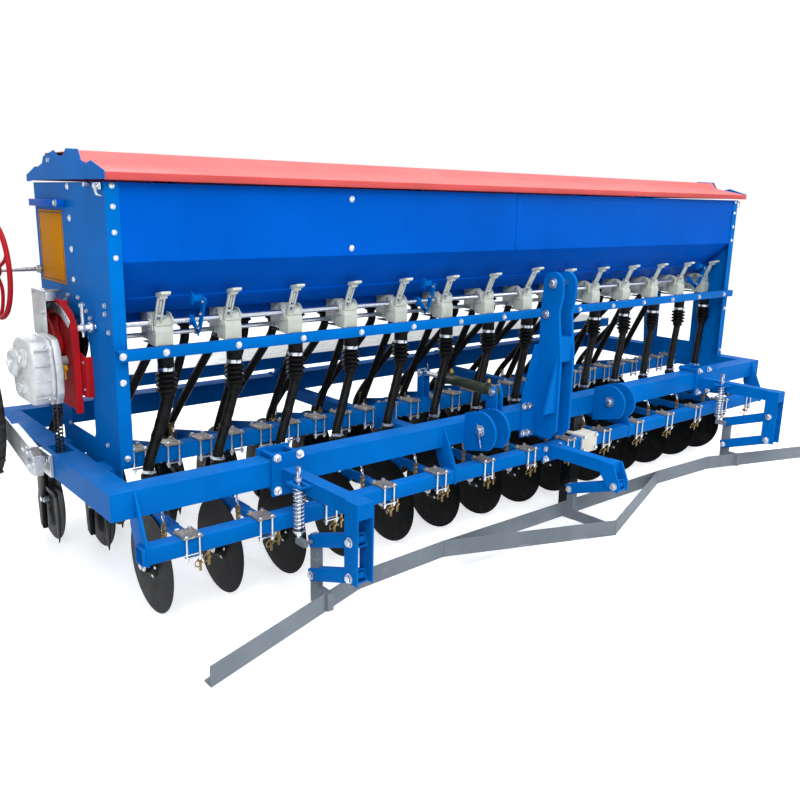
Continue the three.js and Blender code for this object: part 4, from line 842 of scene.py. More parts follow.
def bellows_profile(top, ribs, pitch, inner, outer):
    """Radii and depths of a moulded bellows from its cuff down."""
    profile = [(inner, 0), (inner + 2, -2), (inner + 2, -94), (inner - 1, -98)]
    for k in range(ribs):
        start = -100 - k * pitch
        profile += [(inner - 2, start), (outer - 2, start - pitch * 0.3), (outer, start - pitch * 0.5),
                    (outer - 2, start - pitch * 0.7), (inner - 2, start - pitch * 0.97)]
    end = -100 - ribs * pitch
    profile += [(inner - 1, end), (inner - 1, end - 20)]
    return [(r, top + h) for r, h in profile], top + end - 20


def hose_clamp(work, centre, axis, radius):
    """A worm-drive band with its screw housing."""
    work.lathe([(radius, -6), (radius + 1.6, -6), (radius + 1.6, 6), (radius, 6)], centre, axis, 18, closed=True)
    spot = Vector(centre) + Vector((0, -radius - 5, 0))
    work.box((spot.x - 10, spot.x + 10), (spot.y - 4, spot.y + 5), (spot.z - 6, spot.z + 6), 1.5)
    work.rod(spot + Vector((9, 0, 0)), spot + Vector((17, 0, 0)), 4.5, 6)


class SEEDDRILL_OT_tube_rail(bpy.types.Operator):
    """Rail with its bolts, and the fourteen fertiliser tubes with bellows, bands and cups"""

    bl_idname = "seed_drill.tube_rail"
    bl_label = "Tube Rail"

    def execute(self, context):
        rail = Work()
        left, right = HOPPER_LEFT + 2, HOPPER_RIGHT - 2
        angle = [(RAIL_Y, RAIL_TOP - RAIL_H), (RAIL_Y, RAIL_TOP), (RAIL_Y + 37, RAIL_TOP), (RAIL_Y + 37, RAIL_TOP - 5),
                 (RAIL_Y + 5, RAIL_TOP - 5), (RAIL_Y + 5, RAIL_TOP - RAIL_H)]
        rail.plate(angle, "x", left, right, 1.2)
        for x in METER_X:
            rail.box((x - 26, x - 6), (RAIL_Y + 4, 346), (RAIL_TOP - RAIL_H + 4, RAIL_TOP - RAIL_H + 8), 1)
        piece("tube_rail_steel", rail, "blue enamel", instead_of=("tube_rail",))

        bolts, hoses, bands = Work(), Work(), Work()
        for x in [left + 15] + [x - 75 for x in METER_X]:
            bolts.bolt((x, RAIL_Y, RAIL_TOP - RAIL_H / 2), (0, -1, 0), 13)
        radius = size_of("hose") / 2
        cuff_top = METER_BASE - 2
        for run_x, x in zip(RUN_X, METER_X):
            foot = run_x + 24
            profile, low = bellows_profile(cuff_top, 4, 20, 30, 43)
            hoses.lathe([(0, cuff_top)] + profile + [(0, low)], (x, 376, 0), (0, 0, 1), 20)
            bands.lathe([(32, cuff_top - 92), (34, cuff_top - 92), (34, cuff_top - 78), (32, cuff_top - 78)],
                        (x, 376, 0), (0, 0, 1), 20, closed=True)
            bands.box((x - 9, x + 9), (376 - 41, 376 - 32), (cuff_top - 92, cuff_top - 78), 1.2)
            path = smooth_path([(x, 376, low + 22), (x - 3, 375, low - 6),
                                ((x + foot) / 2 - 4, 356, (low + CUP_Z) / 2), (foot + 4, CUP_Y + 3, CUP_Z + 40),
                                (foot, CUP_Y, CUP_Z - 16)], 9)
            radii = []
            for k, point in enumerate(path):
                joint = abs(point.z - (low + CUP_Z) / 2) < 6
                radii.append(radius + (2.5 if joint else (0.5 if k % 2 else -0.5)))
            hoses.hose(path, radii, 16)
            hoses.lathe([(0, 6), (26, 6), (31, 2), (31, -14), (24, -20), (22, -46), (0, -46)], (foot, CUP_Y, CUP_Z),
                        (0, 0, 1), 18)
            outlet = smooth_path([(foot, CUP_Y, CUP_Z - 36), (foot + 3, CUP_Y + 10, 460),
                                  (foot + 4, DISC_Y + 53, 338)], 6)
            hoses.hose(outlet, 18, 12)
            hose_clamp(bands, (foot + 1, CUP_Y + 1, CUP_Z + 16), (0, 0, 1), radius + 1)
            hose_clamp(bands, (foot, CUP_Y, CUP_Z - 28), (0, 0, 1), 23)
            bolts.bolt((x - 16, 300, RAIL_TOP - RAIL_H + 8), (0, 0, 1), 8)
        piece("fertiliser_tubes", hoses, "rubber", smooth=50)
        piece("fertiliser_tube_bands", bands, "bright zinc")
        piece("tube_rail_bolts", bolts, "bright zinc")
        return {"FINISHED"}


# ---- fertiliser meters -------------------------------------------------------------------------------
class SEEDDRILL_OT_meters(bpy.types.Operator):
    """Fertiliser meters: moulded housings with their hoods, slotted slide levers and rubber feet"""

    bl_idname = "seed_drill.meters"
    bl_label = "Fertiliser Meters"

    def execute(self, context):
        base, half = METER_BASE, 38
        housing, feet, screws = Work(), Work(), Work()
        unit = Work()
        body = [(374, base + 2), (372, base + 60), (384, base + 82), (402, base + 108), (450, base + 112),
                (450, base + 2)]
        unit.plate(body, "x", -half, half, 5)
        neck = [(440, base + 14), (440, base + 108), (470, HOPPER_FLOOR - 1), (545, HOPPER_FLOOR - 1), (545, base + 14)]
        unit.plate(neck, "x", -24, 24, 4)
        # hood round the shaft, its two ears and the ribs behind them
        hood = [(SHAFT_Y - 34, SHAFT_Z - 12), (SHAFT_Y - 26, SHAFT_Z + 16), (SHAFT_Y - 6, SHAFT_Z + 26),
                (SHAFT_Y + 18, SHAFT_Z + 20), (SHAFT_Y + 26, SHAFT_Z - 4), (SHAFT_Y, SHAFT_Z - 20)]
        unit.plate(hood, "x", -half + 4, half - 4, 4)
        for side in (-1, 1):
            x = side * (half + 3)
            ear = [(SHAFT_Y - 20, SHAFT_Z - 30), (SHAFT_Y - 22, SHAFT_Z + 18), (SHAFT_Y - 4, SHAFT_Z + 34),
                   (SHAFT_Y + 26, SHAFT_Z + 36), (SHAFT_Y + 38, SHAFT_Z - 16), (SHAFT_Y + 20, SHAFT_Z - 42)]
            unit.plate(ear, "x", x - 3, x + 3, 1.5)
            unit.lathe([(14, 0), (17, 0), (17, 8), (14, 8)], (x + (3 if side > 0 else -11), SHAFT_Y, SHAFT_Z),
                       (1, 0, 0), 16, closed=True)
        housing.add(unit, [(x, 0, 0) for x in METER_X])

        # slide lever: two rails with rungs, cap on top and stops at its foot
        for i, x in enumerate(METER_X):
            unit = Work()
            pull = 20 if i == 7 else 0
            foot = Vector((0, 384, base + 88))
            head = Vector((0, 330 - pull, base + 206 + pull))
            along = head - foot
            tilt = Matrix.Rotation(math.atan2(-along.y, along.z), 3, "X")
            middle = (foot + head) / 2
            reach = along.length / 2
            for side in (-1, 1):
                unit.box((side * 12 - 4, side * 12 + 4), (middle.y - 5, middle.y + 5),
                         (middle.z - reach, middle.z + reach), 1.2, tilt)
            for share in (0.06, 0.3, 0.88):
                spot = foot + along * share
                unit.box((-12, 12), (spot.y - 4, spot.y + 4), (spot.z - 5, spot.z + 5), 1, tilt)
            spot = foot + along * 0.62
            unit.box((-4, 4), (spot.y - 4, spot.y + 4), (spot.z - 26, spot.z + 26), 1, tilt)
            cap = [(head.y + 14, head.z - 6), (head.y + 12, head.z + 8), (head.y - 40, head.z + 18),
                   (head.y - 42, head.z + 8), (head.y - 10, head.z - 6)]
            unit.plate(cap, "x", -20, 20, 2)
            unit.box((-16, 16), (head.y - 16, head.y - 4), (head.z - 12, head.z - 2), 1.5)
            housing.add(unit, [(x - 24, 0, 0)])
            screws.bolt((x + half + 6, SHAFT_Y + 16, SHAFT_Z + 22), (1, 0, 0), 7)
            screws.bolt((x - half - 6, SHAFT_Y + 16, SHAFT_Z + 22), (-1, 0, 0), 7)
            screws.bolt((x - half - 6, SHAFT_Y + 4, SHAFT_Z - 24), (-1, 0, 0), 7)
            screws.rod((x, foot.y - 8, foot.z + 30), (x, foot.y - 2, foot.z + 26), 6, 8)
        piece("meter_housings", housing, "meter plastic", instead_of=("fertiliser_meters",), smooth=40)

        # black rubber skirts under the housings
        unit = Work()
        unit.box((-30, 30), (366, 440), (base - 1, base + 5), 2)
        unit.box((-22, 22), (440, 540), (base - 1, base + 4), 2)
        feet.add(unit, [(x, 0, 0) for x in METER_X])
        piece("meter_feet", feet, "rubber")
        screws.rod((HOPPER_LEFT + 5, 500, base + 32), (HOPPER_RIGHT - 5, 500, base + 32), 10, 14)
        piece("meter_shafts", screws, "bright zinc")
        return {"FINISHED"}


class SEEDDRILL_OT_adjusting_shaft(bpy.types.Operator):
    """Round shaft through the meters with its curved levers, collars and hand lever"""

    bl_idname = "seed_drill.adjusting_shaft"
    bl_label = "Adjusting Shaft"

    def execute(self, context):
        bright, blue, fasteners = Work(), Work(), Work()
        bright.rod((HOPPER_LEFT - 62, SHAFT_Y, SHAFT_Z), (HOPPER_RIGHT + 12, SHAFT_Y, SHAFT_Z), 11.5, 20, edge=1.5)
        left = HOPPER_LEFT - 44
        for x in (HOPPER_LEFT - 14, HOPPER_RIGHT + 6):
            bright.lathe([(11.5, -8), (19, -8), (20, -6), (20, 6), (19, 8), (11.5, 8)], (x, SHAFT_Y, SHAFT_Z),
                         (1, 0, 0), 18, closed=True)
        # hand lever of flat bar with an eye at its top
        bright.lathe([(9, -5), (18, -5), (18, 5), (9, 5)], (left, SHAFT_Y, SHAFT_Z), (1, 0, 0), 18, closed=True)
        bright.box((left - 4, left + 4), (SHAFT_Y - 10, SHAFT_Y + 10), (SHAFT_Z + 14, SHAFT_Z + 90), 2)
        bright.rod((left - 9, SHAFT_Y, SHAFT_Z + 84), (left + 9, SHAFT_Y, SHAFT_Z + 84), 7, 10)
        bright.rod((left, SHAFT_Y, SHAFT_Z - 34), (left, SHAFT_Y, SHAFT_Z - 12), 5, 8)
        for x in (METER_X[0] + 130, METER_X[4] + 130, METER_X[12] + 130):
            curve = smooth_path([(0, SHAFT_Y - 124, SHAFT_Z + 98), (0, SHAFT_Y - 100, SHAFT_Z + 40),
                                 (0, SHAFT_Y - 76, SHAFT_Z - 20), (0, SHAFT_Y - 50, SHAFT_Z - 46)], 5)
            for k, (a, b) in enumerate(zip(curve, curve[1:])):
                turn = Matrix.Rotation(math.atan2(-(b - a).y, (b - a).z), 3, "X")
                middle, reach = (a + b) / 2, (b - a).length / 2 + 1.5
                blue.box((x - 4, x + 4), (middle.y - 11, middle.y + 11), (middle.z - reach, middle.z + reach), 1, turn)
            blue.lathe([(12, -10), (20, -10), (22, -6), (22, 8), (12, 10)], (x, SHAFT_Y, SHAFT_Z), (1, 0, 0), 16,
                       closed=True)
            web = [(SHAFT_Y - 62, SHAFT_Z - 60), (SHAFT_Y - 64, SHAFT_Z - 34), (SHAFT_Y - 16, SHAFT_Z + 14),
                   (SHAFT_Y + 8, SHAFT_Z + 16), (SHAFT_Y + 10, SHAFT_Z - 12), (SHAFT_Y - 30, SHAFT_Z - 30)]
            blue.plate(web, "x", x - 4, x + 4, 1.5)
            bracket = [(SHAFT_Y - 98, SHAFT_Z + 118), (SHAFT_Y - 74, SHAFT_Z + 122), (SHAFT_Y - 62, SHAFT_Z + 74),
                       (SHAFT_Y - 92, SHAFT_Z + 70)]
            blue.plate(bracket, "x", x - 36, x - 30, 1.5)
            blue.box((x - 34, x + 4), (SHAFT_Y - 100, SHAFT_Y - 94), (SHAFT_Z + 84, SHAFT_Z + 108), 1)
            for dy, dz in ((-116, 84), (-96, 34), (-72, -24), (-46, -46)):
                fasteners.bolt((x - 4, SHAFT_Y + dy, SHAFT_Z + dz), (-1, 0, 0), 8)
        piece("adjusting_shaft_bar", bright, "bright zinc", instead_of=("adjusting_shaft",))
        piece("adjusting_levers", blue, "blue enamel")
        piece("adjusting_lever_bolts", fasteners, "bright zinc")
        return {"FINISHED"}


# ---- hopper ---------------------------------------------------------------------------------------------
class SEEDDRILL_OT_hopper_trim(bpy.types.Operator):
    """Bolts, seam strip, trough ledge, data plate, tabs and latches of the hopper"""

    bl_idname = "seed_drill.hopper_trim"
    bl_label = "Hopper Trim"

    def execute(self, context):
        bolts, blue, latch = Work(), Work(), Work()
        face = HOPPER_FRONT - 4.4
        size = size_of("bolt")
        for k in range(4):
            z = HOPPER_TOP + 6 - k * 88 - (18 if k == 0 else 0)
            bolts.dome_bolt((HOPPER_LEFT + 26, face, z), (0, -1, 0), size * 0.75)
            bolts.dome_bolt((HOPPER_RIGHT - 26, face, z), (0, -1, 0), size * 0.75)
        for z in (FRAME_TOP + 42, FRAME_TOP + 330):
            bolts.bolt((HOPPER_LEFT + 26, face, z), (0, -1, 0), size)
            bolts.bolt((HOPPER_RIGHT - 26, face, z), (0, -1, 0), size)
        third = HOPPER_LEFT + (HOPPER_RIGHT - HOPPER_LEFT) * 0.251
        for z in (HOPPER_TOP - 41, HOPPER_TOP - 245):
            bolts.dome_bolt((third, HOPPER_FRONT, z), (0, -1, 0), size)
        # lapped seam of the front panel, its fold bead and the ledge of the outlet trough
        blue.box((8, 34), (HOPPER_FRONT - 2.4, HOPPER_FRONT + 0.5), (HOPPER_FOLD + 4, HOPPER_TOP - 4), 0.8)
        slope = Vector((0, 470 - HOPPER_FRONT, HOPPER_FLOOR - HOPPER_FOLD)).normalized()
        out = Vector((0, slope.z, -slope.y)).normalized()
        out = out if out.y < 0 else -out
        for share, reach in ((0.70, 7), (0.755, 5)):
            spot = Vector((0, HOPPER_FRONT, HOPPER_FOLD)) + slope * share * math.hypot(232, 213)
            a, b = spot - slope * 9, spot + slope * 9
            ledge = [(a.y, a.z), (a.y + out.y * reach, a.z + out.z * reach), (b.y + out.y * reach, b.z + out.z * reach),
                     (b.y, b.z)]
            blue.plate(ledge, "x", HOPPER_LEFT + 6, HOPPER_RIGHT - 6, 1)
        trough = [(549, HOPPER_FLOOR + 2), (549, HOPPER_FLOOR - 58), (566, HOPPER_FLOOR - 72),
                  (640, HOPPER_FLOOR - 72), (656, HOPPER_FLOOR - 58), (656, HOPPER_FLOOR + 2)]
        blue.plate(trough, "x", HOPPER_LEFT + 8, HOPPER_RIGHT - 8, 1)
        # bolts on the left end plate: the partition's row, the drive's feet and the bracket's corner
        side = (-1, 0, 0)
        for k in range(4):
            bolts.dome_bolt((HOPPER_LEFT, 602, HOPPER_TOP - 16 - k * 116), side, size)
        spread = ((680, 430), (711, 453), (568, 429), (527, 451), (487, 472), (452, 496), (295, 431), (297, 462),
                  (271, 526), (753, 474), (350, 967), (760, 967))
        for y, z in spread:
            bolts.bolt((HOPPER_LEFT, y, HOPPER_TOP - z), side, size * 0.85)
        for z in (HOPPER_TOP - 60, HOPPER_TOP - 240, HOPPER_TOP - 420):
            for y in (300, 634, 960):
                bolts.bolt((HOPPER_RIGHT, y, z), (1, 0, 0), size * 0.85)
        # tab near the rear edge and the wing bolt that holds the lid's front corner
        blue.box((HOPPER_LEFT - 26, HOPPER_LEFT - 0.5), (640, 1008), (HOPPER_TOP - 93, HOPPER_TOP - 65), 2)
        bolts.bolt((HOPPER_LEFT - 26, 672, HOPPER_TOP - 78), side, size)
        for x, turn in ((HOPPER_LEFT - 2, -1), (HOPPER_RIGHT + 2, 1)):
            latch.rod((x, 262, HOPPER_TOP - 14), (x + turn * 26, 262, HOPPER_TOP - 14), 9, 12)
            latch.box((x + turn * 6 - 4, x + turn * 6 + 4), (246, 292), (HOPPER_TOP - 26, HOPPER_TOP - 2), 3)
            latch.rod((x + turn * 22, 368, HOPPER_TOP - 9), (x, 368, HOPPER_TOP - 9), 9, 8)
            latch.hose(smooth_path([(x + turn * 24, 250, HOPPER_TOP - 6), (x + turn * 30, 238, HOPPER_TOP - 16),
                                    (x + turn * 26, 232, HOPPER_TOP - 40), (x + turn * 10, 240, HOPPER_TOP - 46)], 5),
                       4.5, 8)
        piece("hopper_bolts", bolts, "bright zinc", smooth=45)
        # The strips take the hopper's deeper blue, painted shade like the sheets they lie on.
        piece("hopper_strips", blue, "hopper enamel")
        piece("lid_latches", latch, "bright zinc")
        plate = Work()
        plate.box((HOPPER_LEFT - 1.6, HOPPER_LEFT - 0.2), (690, 976), (HOPPER_TOP - 390, HOPPER_TOP - 106), 0.4)
        piece("data_plate", plate, "data plate")
        border = Work()
        low, high = HOPPER_TOP - 382, HOPPER_TOP - 114
        for a, b in (((698, 968), (low, low + 3)), ((698, 968), (high - 3, high)), ((698, 701), (low, high)),
                     ((965, 968), (low, high))):
            border.box((HOPPER_LEFT - 2.2, HOPPER_LEFT - 1.5), a, b)
        piece("data_plate_border", border, "black enamel")

        # the lid's folded lip, the end caps' bolts and the rub strip under its front edge
        lip, caps = Work(), Work()
        low_y, lid_left, lid_right = span("hopper_lid")[0].y, HOPPER_LEFT - 7, HOPPER_RIGHT + 29
        lip.box((lid_left, lid_right), (low_y - 1.2, low_y + 2), (HOPPER_TOP + 9, HOPPER_TOP + 33), 0.6)
        lip.box((lid_left, lid_right), (low_y, low_y + 16), (HOPPER_TOP + 7.2, HOPPER_TOP + 9), 0.4)
        for x in (-1.05 * PITCH, 1.7 * PITCH, 4.6 * PITCH):
            lip.box((x - 1.5, x + 1.5), (low_y - 1.6, low_y + 1), (HOPPER_TOP + 9, HOPPER_TOP + 34), 0.3)
        # The lip wears a darker copy of the lid's red: painted shade on its folded front face.
        piece("lid_lip", lip, "lid lip enamel", body="lid")
        for x, turn in ((span("lid_cap_left")[0].x, -1), (span("lid_cap_right")[1].x, 1)):
            caps.bolt((x, 760, HOPPER_TOP + 82), (turn, 0, 0), size * 0.8)
        piece("lid_cap_bolts", caps, "bright zinc", body="lid")
        return {"FINISHED"}


# ---- seed openers ------------------------------------------------------------------------------------
LONG_ARM_Y, SHORT_ARM_Y = 1290, 1070


def dished_disc(work, x, y, z, radius, dish=9, sides=40):
    """A thin disc with a bevelled rim and a raised boss ring."""
    profile = [(0, -dish - 4), (34, -dish - 4), (40, -dish), (62, -dish + 1), (radius * 0.55, -4), (radius - 12, -1.5),
               (radius, 1.2), (radius, 2.2), (radius - 14, 3), (radius * 0.55, 2), (60, 0), (0, 0)]
    work.lathe(profile, (x, y, z), (1, 0, 0), sides)


class SEEDDRILL_OT_seed_bar(bpy.types.Operator):
    """Seed tool bar: open tube, clamps, arms, discs, boots, shares and press springs"""

    bl_idname = "seed_drill.seed_bar"
    bl_label = "Seed Tool Bar"

    def execute(self, context):
        y0, y1, top = SEED_BAR_Y, SEED_BAR_Y + SEED_BAR, SEED_BAR_TOP
        low = top - SEED_BAR
        inner = FRAME_HALF - BEAM - 1
        steel, plates, bolts, discs, boots, springs = (Work() for _ in range(6))
        square_tube(steel, "x", (y0, y1), (low, top), (-inner, inner), 6, size_of("tube_corner"))
        for side in (-1, 1):
            steel.box((side * 2 * PITCH - 44, side * 2 * PITCH + 44), (y0 - 8, y0 - 1), (low - 4, top + 30), 2)
        piece("seed_bar_steel", steel, "blue enamel", instead_of=("seed_tool_bar",), smooth=40)
        for y, members in ((LONG_ARM_Y, SEED_X[0::2]), (SHORT_ARM_Y, SEED_X[1::2])):
            arms = Work()
            unit = Work()
            drop = [(y1 - 4, low + 6), (y1 - 4, low + 44), (y1 + 70, low + 44), (y - 90, low - 60),
                    (y + 10, DISC_R + 60), (y + 26, DISC_R - 20), (y - 24, DISC_R - 24), (y - 44, DISC_R + 70),
                    (y - 130, low - 106), (y1 + 50, low + 6)]
            unit.plate(drop, "x", 6, 18, 3)
            unit.box((-20, 20), (y1 + 2, y1 + 64), (low + 8, low + 42), 3)
            unit.box((-14, -8), (y - 150, y - 60), (low - 96, low - 66), 2)
            arms.add(unit, [(x, 0, 0) for x in members])
            piece(f"seed_arms_{'long' if y == LONG_ARM_Y else 'short'}", arms, "blue enamel")
            unit = Work()
            dished_disc(unit, 0, y, DISC_R + 0.5, DISC_R)
            discs.add(unit, [(x, 0, 0) for x in members])
            unit = Work()
            boot = [(y - 40, DISC_R + 150), (y + 6, DISC_R + 150), (y + 74, DISC_R - 10), (y + 60, 60), (y + 20, 44),
                    (y + 12, DISC_R - 30), (y - 50, DISC_R + 90)]
            unit.plate(boot, "x", -40, -16, 4)
            share = [(y - 205, DISC_R + 70), (y - 168, DISC_R + 78), (y - 150, DISC_R - 20), (y - 166, 92),
                     (y - 190, 40), (y - 212, 96), (y - 226, DISC_R - 20)]
            unit.plate(share, "x", -34, -28, 2)
            unit.box((-38, -24), (y - 196, y - 60), (DISC_R + 60, DISC_R + 82), 3)
            boots.add(unit, [(x, 0, 0) for x in members])
            unit = Work()
            unit.coil((-27, y - 130, low - 92), 88, 13, 2.6, 7, 5)
            unit.rod((-27, y - 130, low - 100), (-27, y - 130, low + 10), 4, 6)
            springs.add(unit, [(x, 0, 0) for x in members])
            unit = Work()
            unit.bolt((18, y, DISC_R), (1, 0, 0), 18, tail=5)
            unit.rod((-34, y, DISC_R), (-13, y, DISC_R), 20, 12)
            unit.bolt((-34, y, DISC_R), (-1, 0, 0), 16)
            bolts.add(unit, [(x, 0, 0) for x in members])
        unit = Work()
        clamp_plate(unit, 0, y0, SEED_BAR, top)
        plates.add(unit, [(x, 0, 0) for x in SEED_X])
        unit = Work()
        u_bolts(unit, 0, y0, SEED_BAR, top)
        bolts.add(unit, [(x, 0, 0) for x in SEED_X])
        piece("seed_bar_clamp_plates", plates, "clamp steel")
        piece("seed_bar_u_bolts", bolts, "bright zinc")
        piece("seed_discs", discs, "disc steel", smooth=40)
        piece("seed_boots", boots, "black enamel")
        piece("seed_press_springs", springs, "yellow zinc")
        return {"FINISHED"}


class SEEDDRILL_OT_seed_meters(bpy.types.Operator):
    """Seed meters: housings, ribbed cones, the drive shaft and the two fans of hoses"""

    bl_idname = "seed_drill.seed_meters"
    bl_label = "Seed Meters"

    def execute(self, context):
        housing, hoses, bands, shaft = Work(), Work(), Work(), Work()
        centre = (HOPPER_LEFT + HOPPER_RIGHT) / 2
        radius = size_of("seed_hose") / 2
        for k, seed_x in enumerate(SEED_X):
            x = centre + seed_x
            foot_y = (LONG_ARM_Y if k % 2 == 0 else SHORT_ARM_Y) - 66
            unit = Work()
            cup = ((736, 1), (810, 1), (806, 60), (790, 74), (752, 74), (738, 60))
            unit.plate([(y, HOPPER_FLOOR - down) for y, down in cup], "x", -24, 24, 4)
            unit.rod((-30, 770, HOPPER_FLOOR - 44), (30, 770, HOPPER_FLOOR - 44), 20, 16)
            housing.add(unit, [(x, 0, 0)])
            top = HOPPER_FLOOR - 74
            cone = [(0, top), (30, top), (31, top - 6), (24, top - 12), (34, top - 18), (35, top - 22), (25, top - 28),
                    (34, top - 34), (34, top - 38), (22, top - 44), (radius, top - 52), (0, top - 52)]
            hoses.lathe(cone, (x, 770, 0), (0, 0, 1), 16)
            foot = Vector((seed_x - 22, foot_y, DISC_R + 156))
            path = smooth_path([(x, 770, top - 46), (x - 6, 772, top - 120),
                                ((x + foot.x) / 2, (772 + foot.y) / 2 - 10, (top + foot.z) / 2 + 10),
                                (foot.x, foot.y - 20, foot.z + 120), foot], 6)
            hoses.hose(path, radius, 10)
            spot = Vector(path[-4])
            bands.lathe([(radius, -5), (radius + 1.6, -5), (radius + 1.6, 5), (radius, 5)], spot,
                        Vector(path[-3]) - Vector(path[-5]), 12, closed=True)
        for x in (HOPPER_LEFT + 5,):
            shaft.rod((x, 770, HOPPER_FLOOR - 44), (HOPPER_RIGHT - 5, 770, HOPPER_FLOOR - 44), 9, 12)
        piece("seed_hoses", hoses, "rubber", instead_of=("seed_meters",), smooth=50)
        piece("seed_meter_housings", housing, "meter plastic")
        piece("seed_hose_bands", bands, "bright zinc")
        piece("seed_meter_shaft", shaft, "bright zinc")
        return {"FINISHED"}


# ---- front discs ------------------------------------------------------------------------------------
class SEEDDRILL_OT_front_discs(bpy.types.Operator):
    """Front opener discs with bevelled rims, riveted bosses and hubs, each free to turn"""

    bl_idname = "seed_drill.front_discs"
    bl_label = "Front Discs"

    def execute(self, context):
        for i, x in enumerate(RUN_X):
            disc, rivets = Work(), Work()
            profile = [(11.8, -33), (30, -33), (34, -30), (36, -12), (58, -5), (64, 0), (DISC_R - 14, 0.6),
                       (DISC_R - 0.2, 2), (DISC_R - 0.2, 3), (DISC_R - 14, 4.6), (11.8, 4.6)]
            disc.lathe(profile, (x, DISC_Y, DISC_R), (1, 0, 0), 64, closed=True)
            piece(f"disc_{i + 1}_plate", disc, "disc steel", body=f"disc_{i + 1}", instead_of=(RUN_NODES[i],),
                  smooth=28)
            for k in range(6):
                angle = math.tau * k / 6
                spot = (x - 4, DISC_Y + 49 * math.cos(angle), DISC_R + 49 * math.sin(angle))
                rivets.dome_bolt(spot, (-1, 0, 0), 9)
            rivets.lathe([(13, -36), (24, -36), (26, -33), (13, -33)], (x, DISC_Y, DISC_R), (1, 0, 0), 18, closed=True)
            piece(f"disc_{i + 1}_rivets", rivets, "bright zinc", body=f"disc_{i + 1}")
        return {"FINISHED"}


# ---- hitch ------------------------------------------------------------------------------------------
def split_pin(work, spot, along, size=16):
    """A wire linch pin: leg, ring and clip."""
    spot, along = Vector(spot), Vector(along).normalized()
    work.rod(spot - along * size * 1.2, spot + along * size * 1.2, 2.6, 8)
    ring = []
    side = along.orthogonal().normalized()
    for k in range(15):
        angle = math.tau * k / 14
        ring.append(spot + along * (size * 1.9 + math.cos(angle) * size * 0.7) + side * math.sin(angle) * size * 0.7)
    work.hose(ring, 2.2, 6)


class SEEDDRILL_OT_hitch(bpy.types.Operator):
    """Pins, bolts and linch pins of the mast and the lower hitch, and the lift cylinder"""

    bl_idname = "seed_drill.hitch"
    bl_label = "Hitch"

    def execute(self, context):
        pins = Work()
        half = 55
        for y, z, r in ((-80, 1256, 15), (-48, 1104, 13)):
            pins.rod((-half - 18, y, z), (half + 18, y, z), r, 20, edge=2)
            for side in (-1, 1):
                pins.rod((side * (half + 1), y, z), (side * (half + 7), y, z), r * 1.7, 20, edge=1.5)
        for x in (-118, 118):
            for z in (FRAME_TOP + 18, FRAME_TOP - BEAM - 18):
                for dx in (-18, 18):
                    pins.bolt((x + dx, -12.5, z), (0, -1, 0), 18, tail=7)
        for side in (-1, 1):
            x = side * 482
            pins.rod((x - 74, -108, 612), (x + 74, -108, 612), 15, 20, edge=2)
            pins.rod((x + 51, -108, 612), (x + 58, -108, 612), 25, 6)
            pins.rod((x - 60, -108, 612), (x - 51, -108, 612), 27, 20, edge=1.5)
            if side < 0:
                split_pin(pins, (x - 67, -108, 612), (0, -0.25, -1), 30)
            for dz in (FRAME_TOP + 12, FRAME_TOP - BEAM - 12):
                for dx in (-30, 30):
                    pins.bolt((x + dx, -30, dz), (0, -1, 0), 12)
        piece("hitch_pins", pins, "bright zinc", smooth=45)

        # lift cylinder between the lug on the front beam and the seed bar's post
        x = 20 - PITCH
        head, end = Vector((x, 50, FRAME_TOP + 100)), Vector((x, 400, FRAME_TOP + 104))
        tail = Vector((x, 580, FRAME_TOP + 106))
        blue, barrel, bright, brass_fittings = Work(), Work(), Work(), Work()
        ear = [(20, FRAME_TOP + 0.3), (20, FRAME_TOP + 84), (32, FRAME_TOP + 120), (50, FRAME_TOP + 130),
               (68, FRAME_TOP + 120), (92, FRAME_TOP + 40), (92, FRAME_TOP + 0.3)]
        for x0 in (x - 24, x + 12):
            blue.plate(ear, "x", x0, x0 + 12, 2)
        blue.box((x - 24, x - 14), (556, 606), (SEED_BAR_TOP + 0.3, FRAME_TOP + 126), 3)
        blue.box((x + 14, x + 24), (556, 606), (SEED_BAR_TOP + 0.3, FRAME_TOP + 126), 3)
        blue.box((x - 40, x + 40), (SEED_BAR_Y + 2, SEED_BAR_Y + 68), (SEED_BAR_TOP + 0.3, SEED_BAR_TOP + 9), 2)
        piece("lift_cylinder_brackets", blue, "blue enamel")
        along = (end - head).normalized()
        barrel.rod(head + along * 60, end - along * 8, 26, 28, edge=2)
        barrel.rod(end - along * 8, end + along * 14, 30, 28, edge=3)
        barrel.rod(head + along * 34, head + along * 62, 21, 20, edge=3)
        barrel.rod(head - Vector((11, 0, 0)), head + Vector((11, 0, 0)), 24, 24, edge=2)
        for share in (0.14, 0.9):
            port = head + (end - head) * share
            barrel.rod(port, port + Vector((0, 0, 38)), 12, 6)
        piece("lift_cylinder_barrel", barrel, "olive enamel", instead_of=("lift_cylinder",))
        bright.rod(end, tail, 13, 20)
        bright.rod(tail - Vector((12, 0, 0)), tail + Vector((12, 0, 0)), 22, 20, edge=2)
        for spot in (head, tail):
            bright.rod(spot - Vector((36, 0, 0)), spot + Vector((36, 0, 0)), 12, 16, edge=1.5)
            bright.rod(spot - Vector((32, 0, 0)), spot - Vector((25, 0, 0)), 20, 16)
            split_pin(bright, spot + Vector((31, 0, 2)), (0, 0.2, 1), 15)
        piece("lift_cylinder_rod", bright, "bright zinc")
        for share in (0.14, 0.9):
            port = head + (end - head) * share + Vector((0, 0, 38))
            brass_fittings.rod(port, port + Vector((0, 0, 10)), 11, 6)
            brass_fittings.rod(port + Vector((0, 0, 10)), port + Vector((0, 0, 18)), 7, 12)
        brass_fittings.rod(head + along * 22, head + along * 34, 19, 6)
        piece("lift_cylinder_fittings", brass_fittings, "brass")
        return {"FINISHED"}


